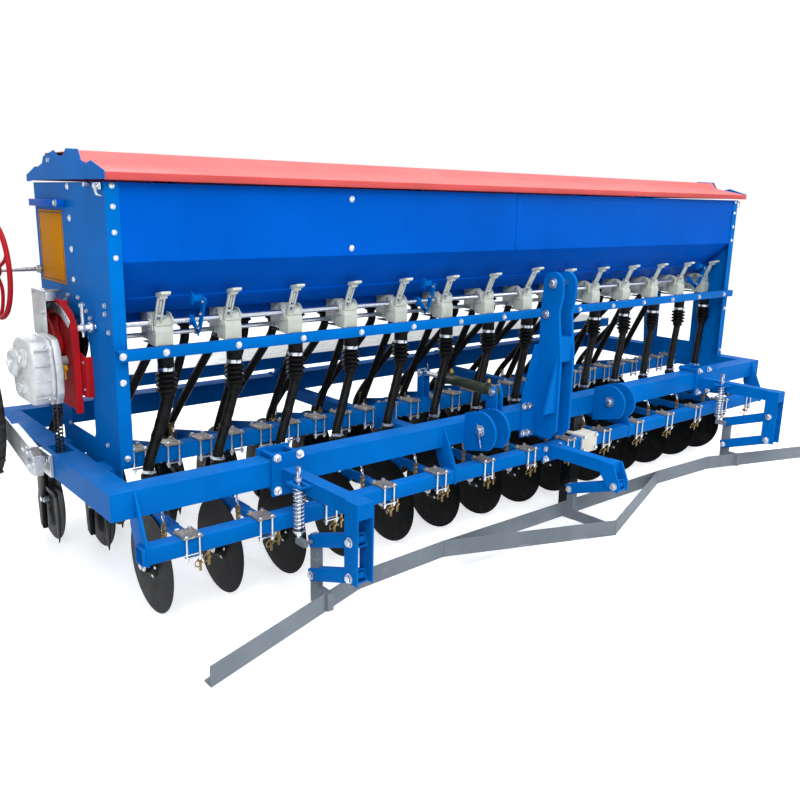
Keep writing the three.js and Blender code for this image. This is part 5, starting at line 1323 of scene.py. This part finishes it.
# ---- leveller ---------------------------------------------------------------------------------------
class SEEDDRILL_OT_leveller(bpy.types.Operator):
    """Leveller: open-ended links, coil springs on their rods, pivot bolts and clamp bolts"""

    bl_idname = "seed_drill.leveller"
    bl_label = "Leveller"

    def link(self, name, body, node, x, y, z):
        work = Work()
        square_tube(work, "y", (x - 23, x + 23), (z - 25, z + 25), (y - 20, y + LINK_LEN + 20), 5, 5)
        for yy in (y, y + LINK_LEN):
            work.lathe([(9.8, -23.6), (15, -23.6), (15, 23.6), (9.8, 23.6)], (x, yy, z), (1, 0, 0), 20, closed=True)
        droop = Matrix.Rotation(-math.asin(LINK_DROP / LINK_LEN), 3, "X")
        bmesh.ops.rotate(work.bm, cent=Vector((x, y, z)), matrix=droop, verts=work.bm.verts)
        piece(name, work, "blue enamel", body=body, instead_of=(node,), smooth=40)

    def execute(self, context):
        fixed, moving = Work(), Work()
        for side, word in ((-1, "left"), (1, "right")):
            x = side * LEVELLER_X
            self.link(f"upper_link_{word}_tube", f"upper_link_{word}", f"leveller_upper_link_{word}", x, PIVOT_Y,
                      UPPER_PIVOT_Z)
            self.link(f"lower_link_{word}_tube", f"lower_link_{word}", f"leveller_lower_link_{word}", x, PIVOT_Y,
                      LOWER_PIVOT_Z)
            for z in (UPPER_PIVOT_Z, LOWER_PIVOT_Z):
                fixed.bolt((x - 38, PIVOT_Y, z), (-1, 0, 0), 18)
                fixed.bolt((x + 38, PIVOT_Y, z), (1, 0, 0), 18, tail=6)
                fixed.rod((x - 30, PIVOT_Y, z), (x + 30, PIVOT_Y, z), 9, 16)
                rear = (PIVOT_Y + LINK_REACH, z - LINK_DROP)
                moving.bolt((x + 25, *rear), (1, 0, 0), 16, tail=6)
                if z == LOWER_PIVOT_Z:
                    moving.bolt((x - 25, *rear), (-1, 0, 0), 16)
            for dx, z in ((-52, FRAME_TOP + 14), (52, FRAME_TOP + 14), (-52, FRAME_TOP - BEAM - 18),
                          (52, FRAME_TOP - BEAM - 18)):
                fixed.bolt((x + dx, -12.5, z), (0, -1, 0), 17, tail=7)
                fixed.bolt((x + dx, BEAM + 10, z), (0, 1, 0), 17)
            # spring on its rod, with the eye bolt above the tab
            low, high = span(f"leveller_spring_{word}")
            spring_x, spring_y = (low.x + high.x) / 2, (low.y + high.y) / 2
            spring = Work()
            spring.coil((spring_x, spring_y, 404), 177.5, 19, 3.1, 11, 8)
            made = piece(f"leveller_spring_{word}_coil", spring, "bright zinc",
                         instead_of=(f"leveller_spring_{word}",), smooth=60)
            moving.rod((spring_x, spring_y, 396), (spring_x, spring_y, 404), 24, 20, edge=2)
            moving.rod((spring_x, spring_y, 352), (spring_x, spring_y, FRAME_TOP + 6), 8.2, 12)
            moving.rod((spring_x, spring_y, 600), (spring_x, spring_y, 612), 15, 6)
            moving.box((spring_x - 5, spring_x + 5), (spring_y - 11, spring_y + 11), (612, 654), 3)
            moving.rod((spring_x, spring_y, 384), (spring_x, spring_y, 396), 15, 6)
            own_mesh(made)
        self.link("centre_link_tube", "link_centre", "leveller_link_centre", 0, -500, 350)
        fixed.bolt((-38, -500, 350), (-1, 0, 0), 18)
        fixed.bolt((38, -500, 350), (1, 0, 0), 18, tail=6)
        fixed.rod((-30, -500, 350), (30, -500, 350), 9, 16)
        for side in (-1, 1):
            moving.bolt((side * 25, -500 + LINK_REACH, 350 - LINK_DROP), (side, 0, 0), 16)
            for z in (FRONT_BAR_TOP - 8, FRONT_BAR_TOP - FRONT_BAR + 6):
                fixed.bolt((side * 52, FRONT_BAR_Y - 10, z), (0, -1, 0), 16, tail=6)
        for dz in (8, -60):
            for dx in (-48, 48):
                fixed.bolt((PITCH + dx, FRONT_BAR_Y - 10, FRONT_BAR_TOP + dz - 6), (0, -1, 0), 12)
        fixed.bolt((PITCH - 35, 25, FRONT_BAR_TOP + 60), (-1, 0, 0), 14)
        piece("leveller_pivot_bolts", fixed, "bright zinc")
        piece("leveller_blade_bolts", moving, "bright zinc", body="blade")

        # weld beads where the blade's pieces meet
        bead = Work()
        z0, z1 = 100, 175
        for x, y in ((-1300, -214), (-820, -190), (820, -190), (1300, -214), (0, -503)):
            path = [(x + 1.4 * math.sin(k * 2.1), y - 3, z0 + (z1 - z0) * k / 12) for k in range(13)]
            bead.hose(path, [2.6 + 0.8 * math.sin(k * 2.6) for k in range(13)], 6)
        piece("leveller_blade_welds", bead, "grey enamel", body="blade", smooth=60)
        return {"FINISHED"}


# ---- drive on the left-hand end ----------------------------------------------------------------------
def outline_arc(centre, radius, start, end, steps):
    return [(centre[0] + radius * math.cos(math.radians(start + (end - start) * k / steps)),
             centre[1] + radius * math.sin(math.radians(start + (end - start) * k / steps))) for k in range(steps + 1)]


class SEEDDRILL_OT_drive(bpy.types.Operator):
    """Gearbox casting, quadrant with its scale and knobs, guard bolts, roller chain and sprockets"""

    bl_idname = "seed_drill.drive"
    bl_label = "Drive"

    def execute(self, context):
        low, high = span("gearbox")
        x0, x1 = HOPPER_LEFT - 230, HOPPER_LEFT - 110
        case, screws = Work(), Work()
        shell = [(486, 856), (462, 900), (458, 980), (476, 1064), (500, 1096), (540, 1104), (630, 1102), (680, 1080),
                 (712, 1036), (714, 930), (702, 874), (680, 858)]
        case.plate(shell, "x", x0 + 8, x1 - 26, 12)
        flange = [(p * 1.0 + (590 - p) * -0.02, q + (980 - q) * -0.02) for p, q in shell]
        case.plate([(max(455, min(715, p)), max(850, min(1105, q))) for p, q in flange], "x", x1 - 44, x1 - 30, 3)
        case.plate([(max(455, min(715, p)), max(850, min(1105, q))) for p, q in flange], "x", x1 - 28, x1, 4)
        for y, z, r, out in ((640, 1000, 56, 26), (540, 1030, 38, 16), (560, 920, 34, 12), (640, 900, 26, 8)):
            case.lathe([(0, -out), (r - 12, -out), (r - 8, -out + 3), (r - 6, -out + 8), (r, -out + 12), (r, 20),
                        (0, 20)], (x0 + 8, y, z), (1, 0, 0), 28)
            screws.rod((x0 + 8 - out - 4, y, z), (x0 + 9 - out, y, z), r * 0.45, 20)
        for p, q in ((478, 880), (474, 970), (486, 1068), (560, 1092), (650, 1088), (700, 1030), (700, 950), (690, 876),
                     (590, 866)):
            case.rod((x1 - 50, p, q), (x1 - 30, p, q), 11, 12)
            screws.bolt((x1 - 50, p, q), (-1, 0, 0), 9)
        for z in (890, 950, 1010, 1070):
            case.box((x0 + 20, x1 - 46), (456, 466), (z - 3, z + 3), 1.5)
        case.rod((x1, 640, 985), (HOPPER_LEFT - 38, 640, 985), 21, 20, edge=2)
        piece("gearbox_case", case, "cast metal", instead_of=("gearbox",), smooth=45)
        screws.rod((x1 - 2, CHAIN_Y, 900), (CHAIN_X + 14, CHAIN_Y, 900), 11, 16)
        screws.rod((x0 - 28, 640, 1000), (x0 - 10, 640, 1000), 15, 16, edge=1.5)
        screws.box((x0 - 29, x0 - 12), (637, 643), (1008, 1014), 0.5)

        # quadrant: scale arc with graduations, pointer hub, yellow knobs
        face = HOPPER_LEFT - 56.4
        scale, ticks, yellow, dark = Work(), Work(), Work(), Work()
        centre = (670, 944)
        arc = outline_arc(centre, 268, 42, 127, 20) + outline_arc(centre, 230, 127, 42, 20)
        scale.plate(arc, "x", face - 2.5, face - 0.3, 0.5)
        for k in range(21):
            angle = math.radians(45 + k * 4)
            inner = 252 if k % 5 else 242
            a = (face - 2.7, centre[0] + inner * math.cos(angle), centre[1] + inner * math.sin(angle))
            b = (face - 2.7, centre[0] + 264 * math.cos(angle), centre[1] + 264 * math.sin(angle))
            ticks.rod(a, b, 0.9, 4)
        piece("quadrant_scale", scale, "bright zinc")
        piece("quadrant_marks", ticks, "black enamel")
        for y, z, r in ((833, 1100, 24), (591, 966, 22)):
            knob = ((0, -34), (0.6, -34), (0.95, -30), (1, -20), (0.8, -12), (0.5, -8), (0.5, 0), (0, 0))
            yellow.lathe([(r * wide, out) for wide, out in knob], (face, y, z), (1, 0, 0), 10)
            yellow.box((face - 10, face - 4), (y - 6, y + 6), (z - 44, z - 8), 2)
        piece("quadrant_knobs", yellow, "yellow plastic")
        dark.lathe([(0, -12), (40, -12), (46, -8), (46, 0), (0, 0)], (HOPPER_LEFT - 42, 700, 1040), (1, 0, 0), 32)
        dark.box((HOPPER_LEFT - 50, HOPPER_LEFT - 44), (690, 710), (1040, 1160), 2)
        for y, z in ((540, 830), (790, 830), (866, 930), (866, 1080), (540, 1140), (640, 1206), (740, 1206)):
            screws.bolt((HOPPER_LEFT - 38, y, z), (-1, 0, 0), 9)
        piece("quadrant_hub", dark, "red enamel")
        low, high = span("drive_guard")
        fold = Work()
        fold.box((low.x, low.x + 4), (low.y + 42, high.y + 90), (low.z, high.z - 16), 1)
        fold.box((low.x, high.x), (low.y + 38, low.y + 42), (low.z, high.z - 16), 1)
        corner = [(low.y + 42, high.z - 16), (high.y + 90, high.z + 10), (high.y + 90, high.z - 16)]
        fold.plate(corner, "x", low.x, low.x + 4)
        piece("drive_guard_sheet", fold, "red enamel", instead_of=("drive_guard",))
        for z in (low.z + 30, high.z - 40):
            screws.bolt((low.x, low.y + 60, z), (-1, 0, 0), 6)
        # channel that carries the gearbox's top stay
        left, right = HOPPER_LEFT - 100, HOPPER_LEFT - 60
        channel = Work()
        channel.box((left, left + 4), (652, 816), (1080, 1258), 1.5)
        channel.box((left, right), (652, 656), (1222, 1258), 1.5)
        channel.box((left, right), (652, 816), (1254, 1258), 1.5)
        channel.box((left, right), (812, 816), (1120, 1258), 1.5)
        channel.box((left, HOPPER_LEFT - 0.3), (770, 812), (1244, 1250), 1.5)
        piece("gearbox_channel", channel, "galvanised", instead_of=("gearbox_bracket",))
        screws.bolt((left, 680, 1180), (-1, 0, 0), 12)
        screws.bolt((HOPPER_LEFT - 80, 720, 1258), (0, 0, 1), 9)
        piece("drive_screws", screws, "bright zinc")

        # roller chain: pins with rollers between inner and outer plates, round two toothed sprockets
        chain, bright = Work(), Work()
        high_z, low_z, turn_r, step = 900, 590, 27, 15.9
        straight = high_z - low_z
        loop = 2 * straight + math.tau * turn_r
        count = 2 * round(loop / step / 2)

        def spot(k):
            s = (k % count) * loop / count
            if s < straight:
                return Vector((0, CHAIN_Y - turn_r, low_z + s))
            s -= straight
            if s < math.pi * turn_r:
                angle = math.pi - s / turn_r
                return Vector((0, CHAIN_Y + turn_r * math.cos(angle), high_z + turn_r * math.sin(angle)))
            s -= math.pi * turn_r
            if s < straight:
                return Vector((0, CHAIN_Y + turn_r, high_z - s))
            s -= straight
            angle = -s / turn_r
            return Vector((0, CHAIN_Y + turn_r * math.cos(angle), low_z + turn_r * math.sin(angle)))

        for k in range(count):
            a, b = spot(k), spot(k + 1)
            chain.rod((CHAIN_X - 5.5, a.y, a.z), (CHAIN_X + 5.5, a.y, a.z), 5, 8)
            chain.rod((CHAIN_X - 8, a.y, a.z), (CHAIN_X + 8, a.y, a.z), 2, 6)
            reach = 7.4 if k % 2 else 5.6
            tilt = Matrix.Rotation(math.atan2(-(b - a).y, (b - a).z), 3, "X")
            middle, half = (a + b) / 2, (b - a).length / 2 + 3.4
            for side in (-1, 1):
                x = CHAIN_X + side * reach
                chain.box((x - 0.8, x + 0.8), (middle.y - 4.6, middle.y + 4.6), (middle.z - half, middle.z + half), 0,
                          tilt)
        for z in (high_z, low_z):
            teeth = []
            for k in range(10 * 2):
                radius = 25.5 if k % 2 else 20
                for nudge in (-0.11, 0.11):
                    angle = math.tau * k / 20 + nudge
                    teeth.append((CHAIN_Y + radius * math.cos(angle), z + radius * math.sin(angle)))
            chain.plate(teeth, "x", CHAIN_X - 3.4, CHAIN_X + 3.4)
            bright.rod((CHAIN_X - 9, CHAIN_Y, z), (CHAIN_X + 12, CHAIN_Y, z), 12, 16)
        piece("roller_chain", chain, "chain steel", instead_of=("drive_chain",), smooth=30)
        piece("sprocket_shafts", bright, "bright zinc")
        return {"FINISHED"}


# ---- ground wheel -------------------------------------------------------------------------------------
class SEEDDRILL_OT_ground_wheel(bpy.types.Operator):
    """Ground wheel: lugged tyre, pressed rim with its bolts, valve, and the arm's fasteners"""

    bl_idname = "seed_drill.ground_wheel"
    bl_label = "Ground Wheel"

    def execute(self, context):
        low, high = span("ground_tyre")
        x, y, z = ((low + high) / 2)
        r, w = (high.z - low.z) / 2, (high.x - low.x) / 2
        tyre_work, rim, nuts = Work(), Work(), Work()
        section = [(r - 72, -w + 16), (r - 66, -w + 8), (r - 46, -w + 2), (r - 28, -w + 1), (r - 14, -w + 10),
                   (r - 9, -w + 26), (r - 8, 0), (r - 9, w - 26), (r - 14, w - 10), (r - 28, w - 1), (r - 46, w - 2),
                   (r - 66, w - 8), (r - 72, w - 16)]
        tyre_work.lathe(section, (x, y, z), (1, 0, 0), 72, closed=True)
        for k in range(24):
            for side in (-1, 1):
                angle = math.tau * (k + (0.25 if side > 0 else -0.25)) / 24
                mid = Vector((x + side * w * 0.46, y + (r - 6) * math.cos(angle), z + (r - 6) * math.sin(angle)))
                tyre_work.box((mid.x - w * 0.44, mid.x + w * 0.44), (mid.y - 6, mid.y + 6), (mid.z - 9, mid.z + 9), 2,
                              Matrix.Rotation(angle, 3, "X") @ Matrix.Rotation(side * 0.5, 3, "Y"))
        piece("ground_tyre_tread", tyre_work, "tyre", body="ground_wheel", instead_of=("ground_tyre",), smooth=40)
        outer = r - 72.5
        dish = [(15.8, -34), (36, -34), (38, -30), (38, -8), (52, -4), (80, -9), (120, -16), (outer - 40, -8),
                (outer - 14, -6), (outer - 10, -34), (outer - 2, -w + 18), (outer, -w + 16), (outer, w - 16),
                (outer - 2, w - 18), (outer - 10, 30), (outer - 14, 2), (outer - 40, 0), (120, -8), (80, -2), (52, 4),
                (15.8, 4)]
        rim.lathe(dish, (x, y, z), (1, 0, 0), 56, closed=True)
        piece("ground_rim_pressing", rim, "galvanised", body="ground_wheel", instead_of=("ground_rim",), smooth=30)
        for k in range(6):
            angle = math.tau * k / 6
            nuts.bolt((x - 9, y + 66 * math.cos(angle), z + 66 * math.sin(angle)), (-1, 0, 0), 12, tail=4)
        nuts.rod((x - 20, y + 190, z), (x - 60, y + 194, z), 4, 8)
        piece("ground_wheel_nuts", nuts, "bright zinc", body="ground_wheel")
        arm = Work()
        left = span("wheel_arm")[0].x
        plate_x = -FRAME_HALF - 70
        for yy, zz in ((630, 590), (700, 640), (640, 640)):
            arm.bolt((plate_x, yy, zz), (-1, 0, 0), 16, tail=4)
        arm.rod((left + 1, y, z), (left + 18, y, z), 22, 6)
        arm.rod((plate_x - 12, CHAIN_Y, 590), (plate_x + 2, CHAIN_Y, 590), 24, 6)
        arm.bolt((-FRAME_HALF - 14, 604, 606), (-1, 0, 0), 14)
        arm.bolt((-FRAME_HALF - 14, 716, 606), (-1, 0, 0), 14)
        piece("wheel_arm_bolts", arm, "bright zinc")
        return {"FINISHED"}


# ---- platform and hand wheel ----------------------------------------------------------------------------
class SEEDDRILL_OT_platform(bpy.types.Operator):
    """Tread plate on the platform: raised bars in pairs, turned by quarter turns"""

    bl_idname = "seed_drill.platform"
    bl_label = "Platform"

    def execute(self, context):
        low, high = span("platform")
        deck = Work()
        deck.box((low.x + 1, high.x - 1), (low.y + 1, high.y - 21), (high.z + 0.3, high.z + 1.2), 0.3)
        bar = Work()
        bmesh.ops.create_uvsphere(bar.bm, u_segments=6, v_segments=4, radius=1.0)
        bmesh.ops.bisect_plane(bar.bm, geom=bar.bm.verts[:] + bar.bm.edges[:] + bar.bm.faces[:], plane_co=(0, 0, 0),
                               plane_no=(0, 0, -1), clear_outer=True)
        bmesh.ops.holes_fill(bar.bm, edges=[e for e in bar.bm.edges if e.is_boundary])
        bmesh.ops.transform(bar.bm, matrix=Matrix.Diagonal((14, 4, 1.9, 1)), verts=bar.bm.verts)
        step = 34
        columns = int((high.x - low.x - 20) / step)
        rows = int((high.y - 21 - low.y - 10) / step)
        for turn in (0, 1):
            unit = Work()
            mesh = bpy.data.meshes.new("bar")
            bar.bm.to_mesh(mesh)
            unit.bm.from_mesh(mesh)
            bpy.data.meshes.remove(mesh)
            bmesh.ops.rotate(unit.bm, cent=(0, 0, 0), matrix=Matrix.Rotation(math.radians(45 + 90 * turn), 3, "Z"),
                             verts=unit.bm.verts)
            spots = [(low.x + 20 + step * (c + 0.5), low.y + 10 + step * (row + 0.5), high.z + 1.1)
                     for c in range(columns) for row in range(rows) if (c + row) % 2 == turn]
            deck.add(unit, spots)
        bar.bm.free()
        piece("platform_tread_plate", deck, "chequer plate", smooth=50)
        bolts = Work()
        for x in (low.x + 165, -650, 650, high.x - 165):
            for dx in (-46, 46):
                bolts.bolt((x + dx, 1416, FRAME_TOP + 8), (0, 0, 1), 12)
        piece("platform_bolts", bolts, "bright zinc")
        return {"FINISHED"}


class SEEDDRILL_OT_hand_wheel(bpy.types.Operator):
    """Hand wheel with a round rim, curved spokes, knob and a plated shaft"""

    bl_idname = "seed_drill.hand_wheel"
    bl_label = "Hand Wheel"

    def execute(self, context):
        low, high = span("hand_wheel")
        x, y, z = HOPPER_LEFT - 180, (low.y + high.y) / 2, (low.z + high.z) / 2
        r = (high.z - low.z) / 2 - 22
        z += 18
        red, bright = Work(), Work()
        ring = [(r + 11.5 * math.cos(math.tau * k / 12), 10.5 * math.sin(math.tau * k / 12)) for k in range(12)]
        red.lathe(ring, (x, y, z), (1, 0, 0), 64, closed=True)
        for k in range(3):
            angle = math.tau * k / 3 + 0.5
            out = Vector((0, math.cos(angle), math.sin(angle)))
            path = smooth_path([Vector((x, y, z)) + out * 14, Vector((x + 16, y, z)) + out * r * 0.4,
                                Vector((x + 12, y, z)) + out * r * 0.75, Vector((x, y, z)) + out * (r - 4)], 5)
            red.hose(path, 7.5, 8)
        red.lathe([(0, -16), (20, -16), (25, -12), (25, 12), (20, 16), (0, 16)], (x, y, z), (1, 0, 0), 28)
        piece("hand_wheel_ring", red, "red enamel", instead_of=("hand_wheel",), smooth=50)
        bright.rod((x + 10, y, z), (HOPPER_LEFT - 0.5, y, z), 9.5, 16)
        bright.bolt((x - 16, y, z), (-1, 0, 0), 16)
        bright.bolt((HOPPER_LEFT - 10, y, z), (-1, 0, 0), 18)
        piece("hand_wheel_shaft", bright, "bright zinc")
        return {"FINISHED"}


# ---- stage ------------------------------------------------------------------------------------
CAMERA_AT = (-3160, -2668, 1629)
CAMERA_YAW = math.radians(39.93)
CAMERA_DOWN = math.radians(13.57)
CAMERA_ROLL = math.radians(1.18)
CAMERA_LENS = 37.35


def area_lamp(name, spot, aim, width, height, power, tone):
    data = bpy.data.lights.new(name, "AREA")
    data.shape = "RECTANGLE"
    data.size, data.size_y = width, height
    data.energy = power
    data.color = rgb(tone)
    lamp = bpy.data.objects.new(name, data)
    lamp.location = spot
    lamp.rotation_euler = (Vector(aim) - Vector(spot)).to_track_quat("-Z", "Y").to_euler()
    bpy.context.scene.collection.objects.link(lamp)


def seen_ray(tree):
    """1 for rays that show the background itself: straight from the camera, or by mirror or glass."""
    path = add(tree, "ShaderNodeLightPath")
    either = add(tree, "ShaderNodeMath", props={"operation": "MAXIMUM"},
                 links={0: path.outputs["Is Camera Ray"], 1: path.outputs["Is Glossy Ray"]}).outputs[0]
    return add(tree, "ShaderNodeMath", props={"operation": "MAXIMUM"},
               links={0: either, 1: path.outputs["Is Transmission Ray"]}).outputs[0]


class SEEDDRILL_OT_stage(bpy.types.Operator):
    """Pale floor, white surroundings, soft lamps and the camera"""

    bl_idname = "seed_drill.stage"
    bl_label = "Stage"

    def execute(self, context):
        scene = context.scene
        world = bpy.data.worlds.new("studio")
        scene.world = world
        world.use_nodes = True
        tree = world.node_tree
        tree.nodes.clear()
        seen = seen_ray(tree)
        plain = add(tree, "ShaderNodeBackground", values={"Color": (0.9, 0.95, 1.0, 1.0), "Strength": 0.62})
        white = add(tree, "ShaderNodeBackground", values={"Color": WHITE, "Strength": 1.0})
        mix = add(tree, "ShaderNodeMixShader", links={0: seen, 1: plain.outputs[0], 2: white.outputs[0]})
        add(tree, "ShaderNodeOutputWorld", links={"Surface": mix.outputs[0]})

        floor_mesh = bmesh.new()
        bmesh.ops.create_grid(floor_mesh, x_segments=1, y_segments=1, size=40)
        mesh = bpy.data.meshes.new("floor")
        floor_mesh.to_mesh(mesh)
        floor_mesh.free()
        floor = bpy.data.objects.new("floor", mesh)
        floor.location = (0, 0, -0.0005)
        scene.collection.objects.link(floor)
        made = bpy.data.materials.new("studio floor")
        made.use_nodes = True
        tree = made.node_tree
        tree.nodes.clear()
        grain = add(tree, "ShaderNodeTexNoise", values={"Scale": 3.0})
        tone = blend_colour(tree, grain.outputs["Fac"], (0.78, 0.78, 0.78, 1), (0.82, 0.82, 0.82, 1))
        matt = add(tree, "ShaderNodeBsdfDiffuse", links={"Color": tone})
        glow = add(tree, "ShaderNodeEmission", values={"Color": WHITE, "Strength": 0.56})
        dark = add(tree, "ShaderNodeEmission", values={"Color": WHITE, "Strength": 0.0})
        lift = add(tree, "ShaderNodeMixShader", links={0: seen_ray(tree), 1: dark.outputs[0], 2: glow.outputs[0]})
        both = add(tree, "ShaderNodeAddShader", links={0: matt.outputs[0], 1: lift.outputs[0]})
        add(tree, "ShaderNodeOutputMaterial", links={"Surface": both.outputs[0]})
        mesh.materials.append(made)

        area_lamp("key softbox", (-3.6, -5.2, 5.2), (0.2, 0, 0.8), 4.5, 3.0, 360, "ffffff")
        area_lamp("overhead softbox", (0.5, -0.6, 6.0), (0.2, 0, 0.5), 7.0, 4.0, 300, "fbfdff")
        area_lamp("right fill", (5.4, -4.2, 3.0), (0.6, 0, 0.7), 4.0, 3.0, 130, "f4f8ff")
        area_lamp("rear fill", (-1.0, 6.0, 3.6), (0, 0, 0.8), 5.0, 3.0, 150, "f4f8ff")

        lens = bpy.data.cameras.new("camera")
        lens.lens = CAMERA_LENS
        lens.sensor_width = 36.0
        lens.clip_end = 200.0
        camera = bpy.data.objects.new("camera", lens)
        ahead = Vector((math.sin(CAMERA_YAW) * math.cos(CAMERA_DOWN), math.cos(CAMERA_YAW) * math.cos(CAMERA_DOWN),
                        -math.sin(CAMERA_DOWN)))
        right = ahead.cross(Vector((0, 0, 1))).normalized()
        up = right.cross(ahead)
        leaned = math.cos(CAMERA_ROLL) * right + math.sin(CAMERA_ROLL) * up
        upright = math.cos(CAMERA_ROLL) * up - math.sin(CAMERA_ROLL) * right
        turn = Matrix((leaned, upright, -ahead)).transposed().to_4x4()
        camera.matrix_world = Matrix.Translation(TO_ROW @ Vector(CAMERA_AT)) @ turn
        scene.collection.objects.link(camera)
        scene.camera = camera
        scene.view_settings.view_transform = "Standard"
        return {"FINISHED"}


OPERATORS = [
    SEEDDRILL_OT_carried, SEEDDRILL_OT_front_bar, SEEDDRILL_OT_front_discs, SEEDDRILL_OT_tube_rail,
    SEEDDRILL_OT_meters, SEEDDRILL_OT_adjusting_shaft, SEEDDRILL_OT_seed_bar, SEEDDRILL_OT_seed_meters,
    SEEDDRILL_OT_hopper_trim, SEEDDRILL_OT_hitch, SEEDDRILL_OT_leveller, SEEDDRILL_OT_drive,
    SEEDDRILL_OT_ground_wheel, SEEDDRILL_OT_platform, SEEDDRILL_OT_hand_wheel, SEEDDRILL_OT_stage,
]


class SEEDDRILL_PT_panel(bpy.types.Panel):
    """Lists the drill's colours, sizes and pieces"""

    bl_idname = "SEEDDRILL_PT_panel"
    bl_label = "Seed Drill"
    bl_space_type = "VIEW_3D"
    bl_region_type = "UI"
    bl_category = "Seed Drill"

    def draw(self, context):
        layout = self.layout
        for settings in (context.scene.seed_drill_finish, context.scene.seed_drill_sizes):
            box = layout.box()
            for name in settings.bl_rna.properties.keys():
                if name not in ("rna_type", "name"):
                    box.prop(settings, name)
        for operator in OPERATORS:
            layout.operator(operator.bl_idname)


CLASSES = [SeedDrillFinish, SeedDrillSizes, *OPERATORS, SEEDDRILL_PT_panel]


def register():
    for cls in CLASSES:
        bpy.utils.register_class(cls)
    bpy.types.Scene.seed_drill_finish = bpy.props.PointerProperty(type=SeedDrillFinish)
    bpy.types.Scene.seed_drill_sizes = bpy.props.PointerProperty(type=SeedDrillSizes)


def unregister():
    del bpy.types.Scene.seed_drill_finish
    del bpy.types.Scene.seed_drill_sizes
    for cls in reversed(CLASSES):
        bpy.utils.unregister_class(cls)


def main():
    register()
    for operator in OPERATORS:
        getattr(bpy.ops.seed_drill, operator.bl_idname.split(".")[1])()


if __name__ == "__main__":
    main()
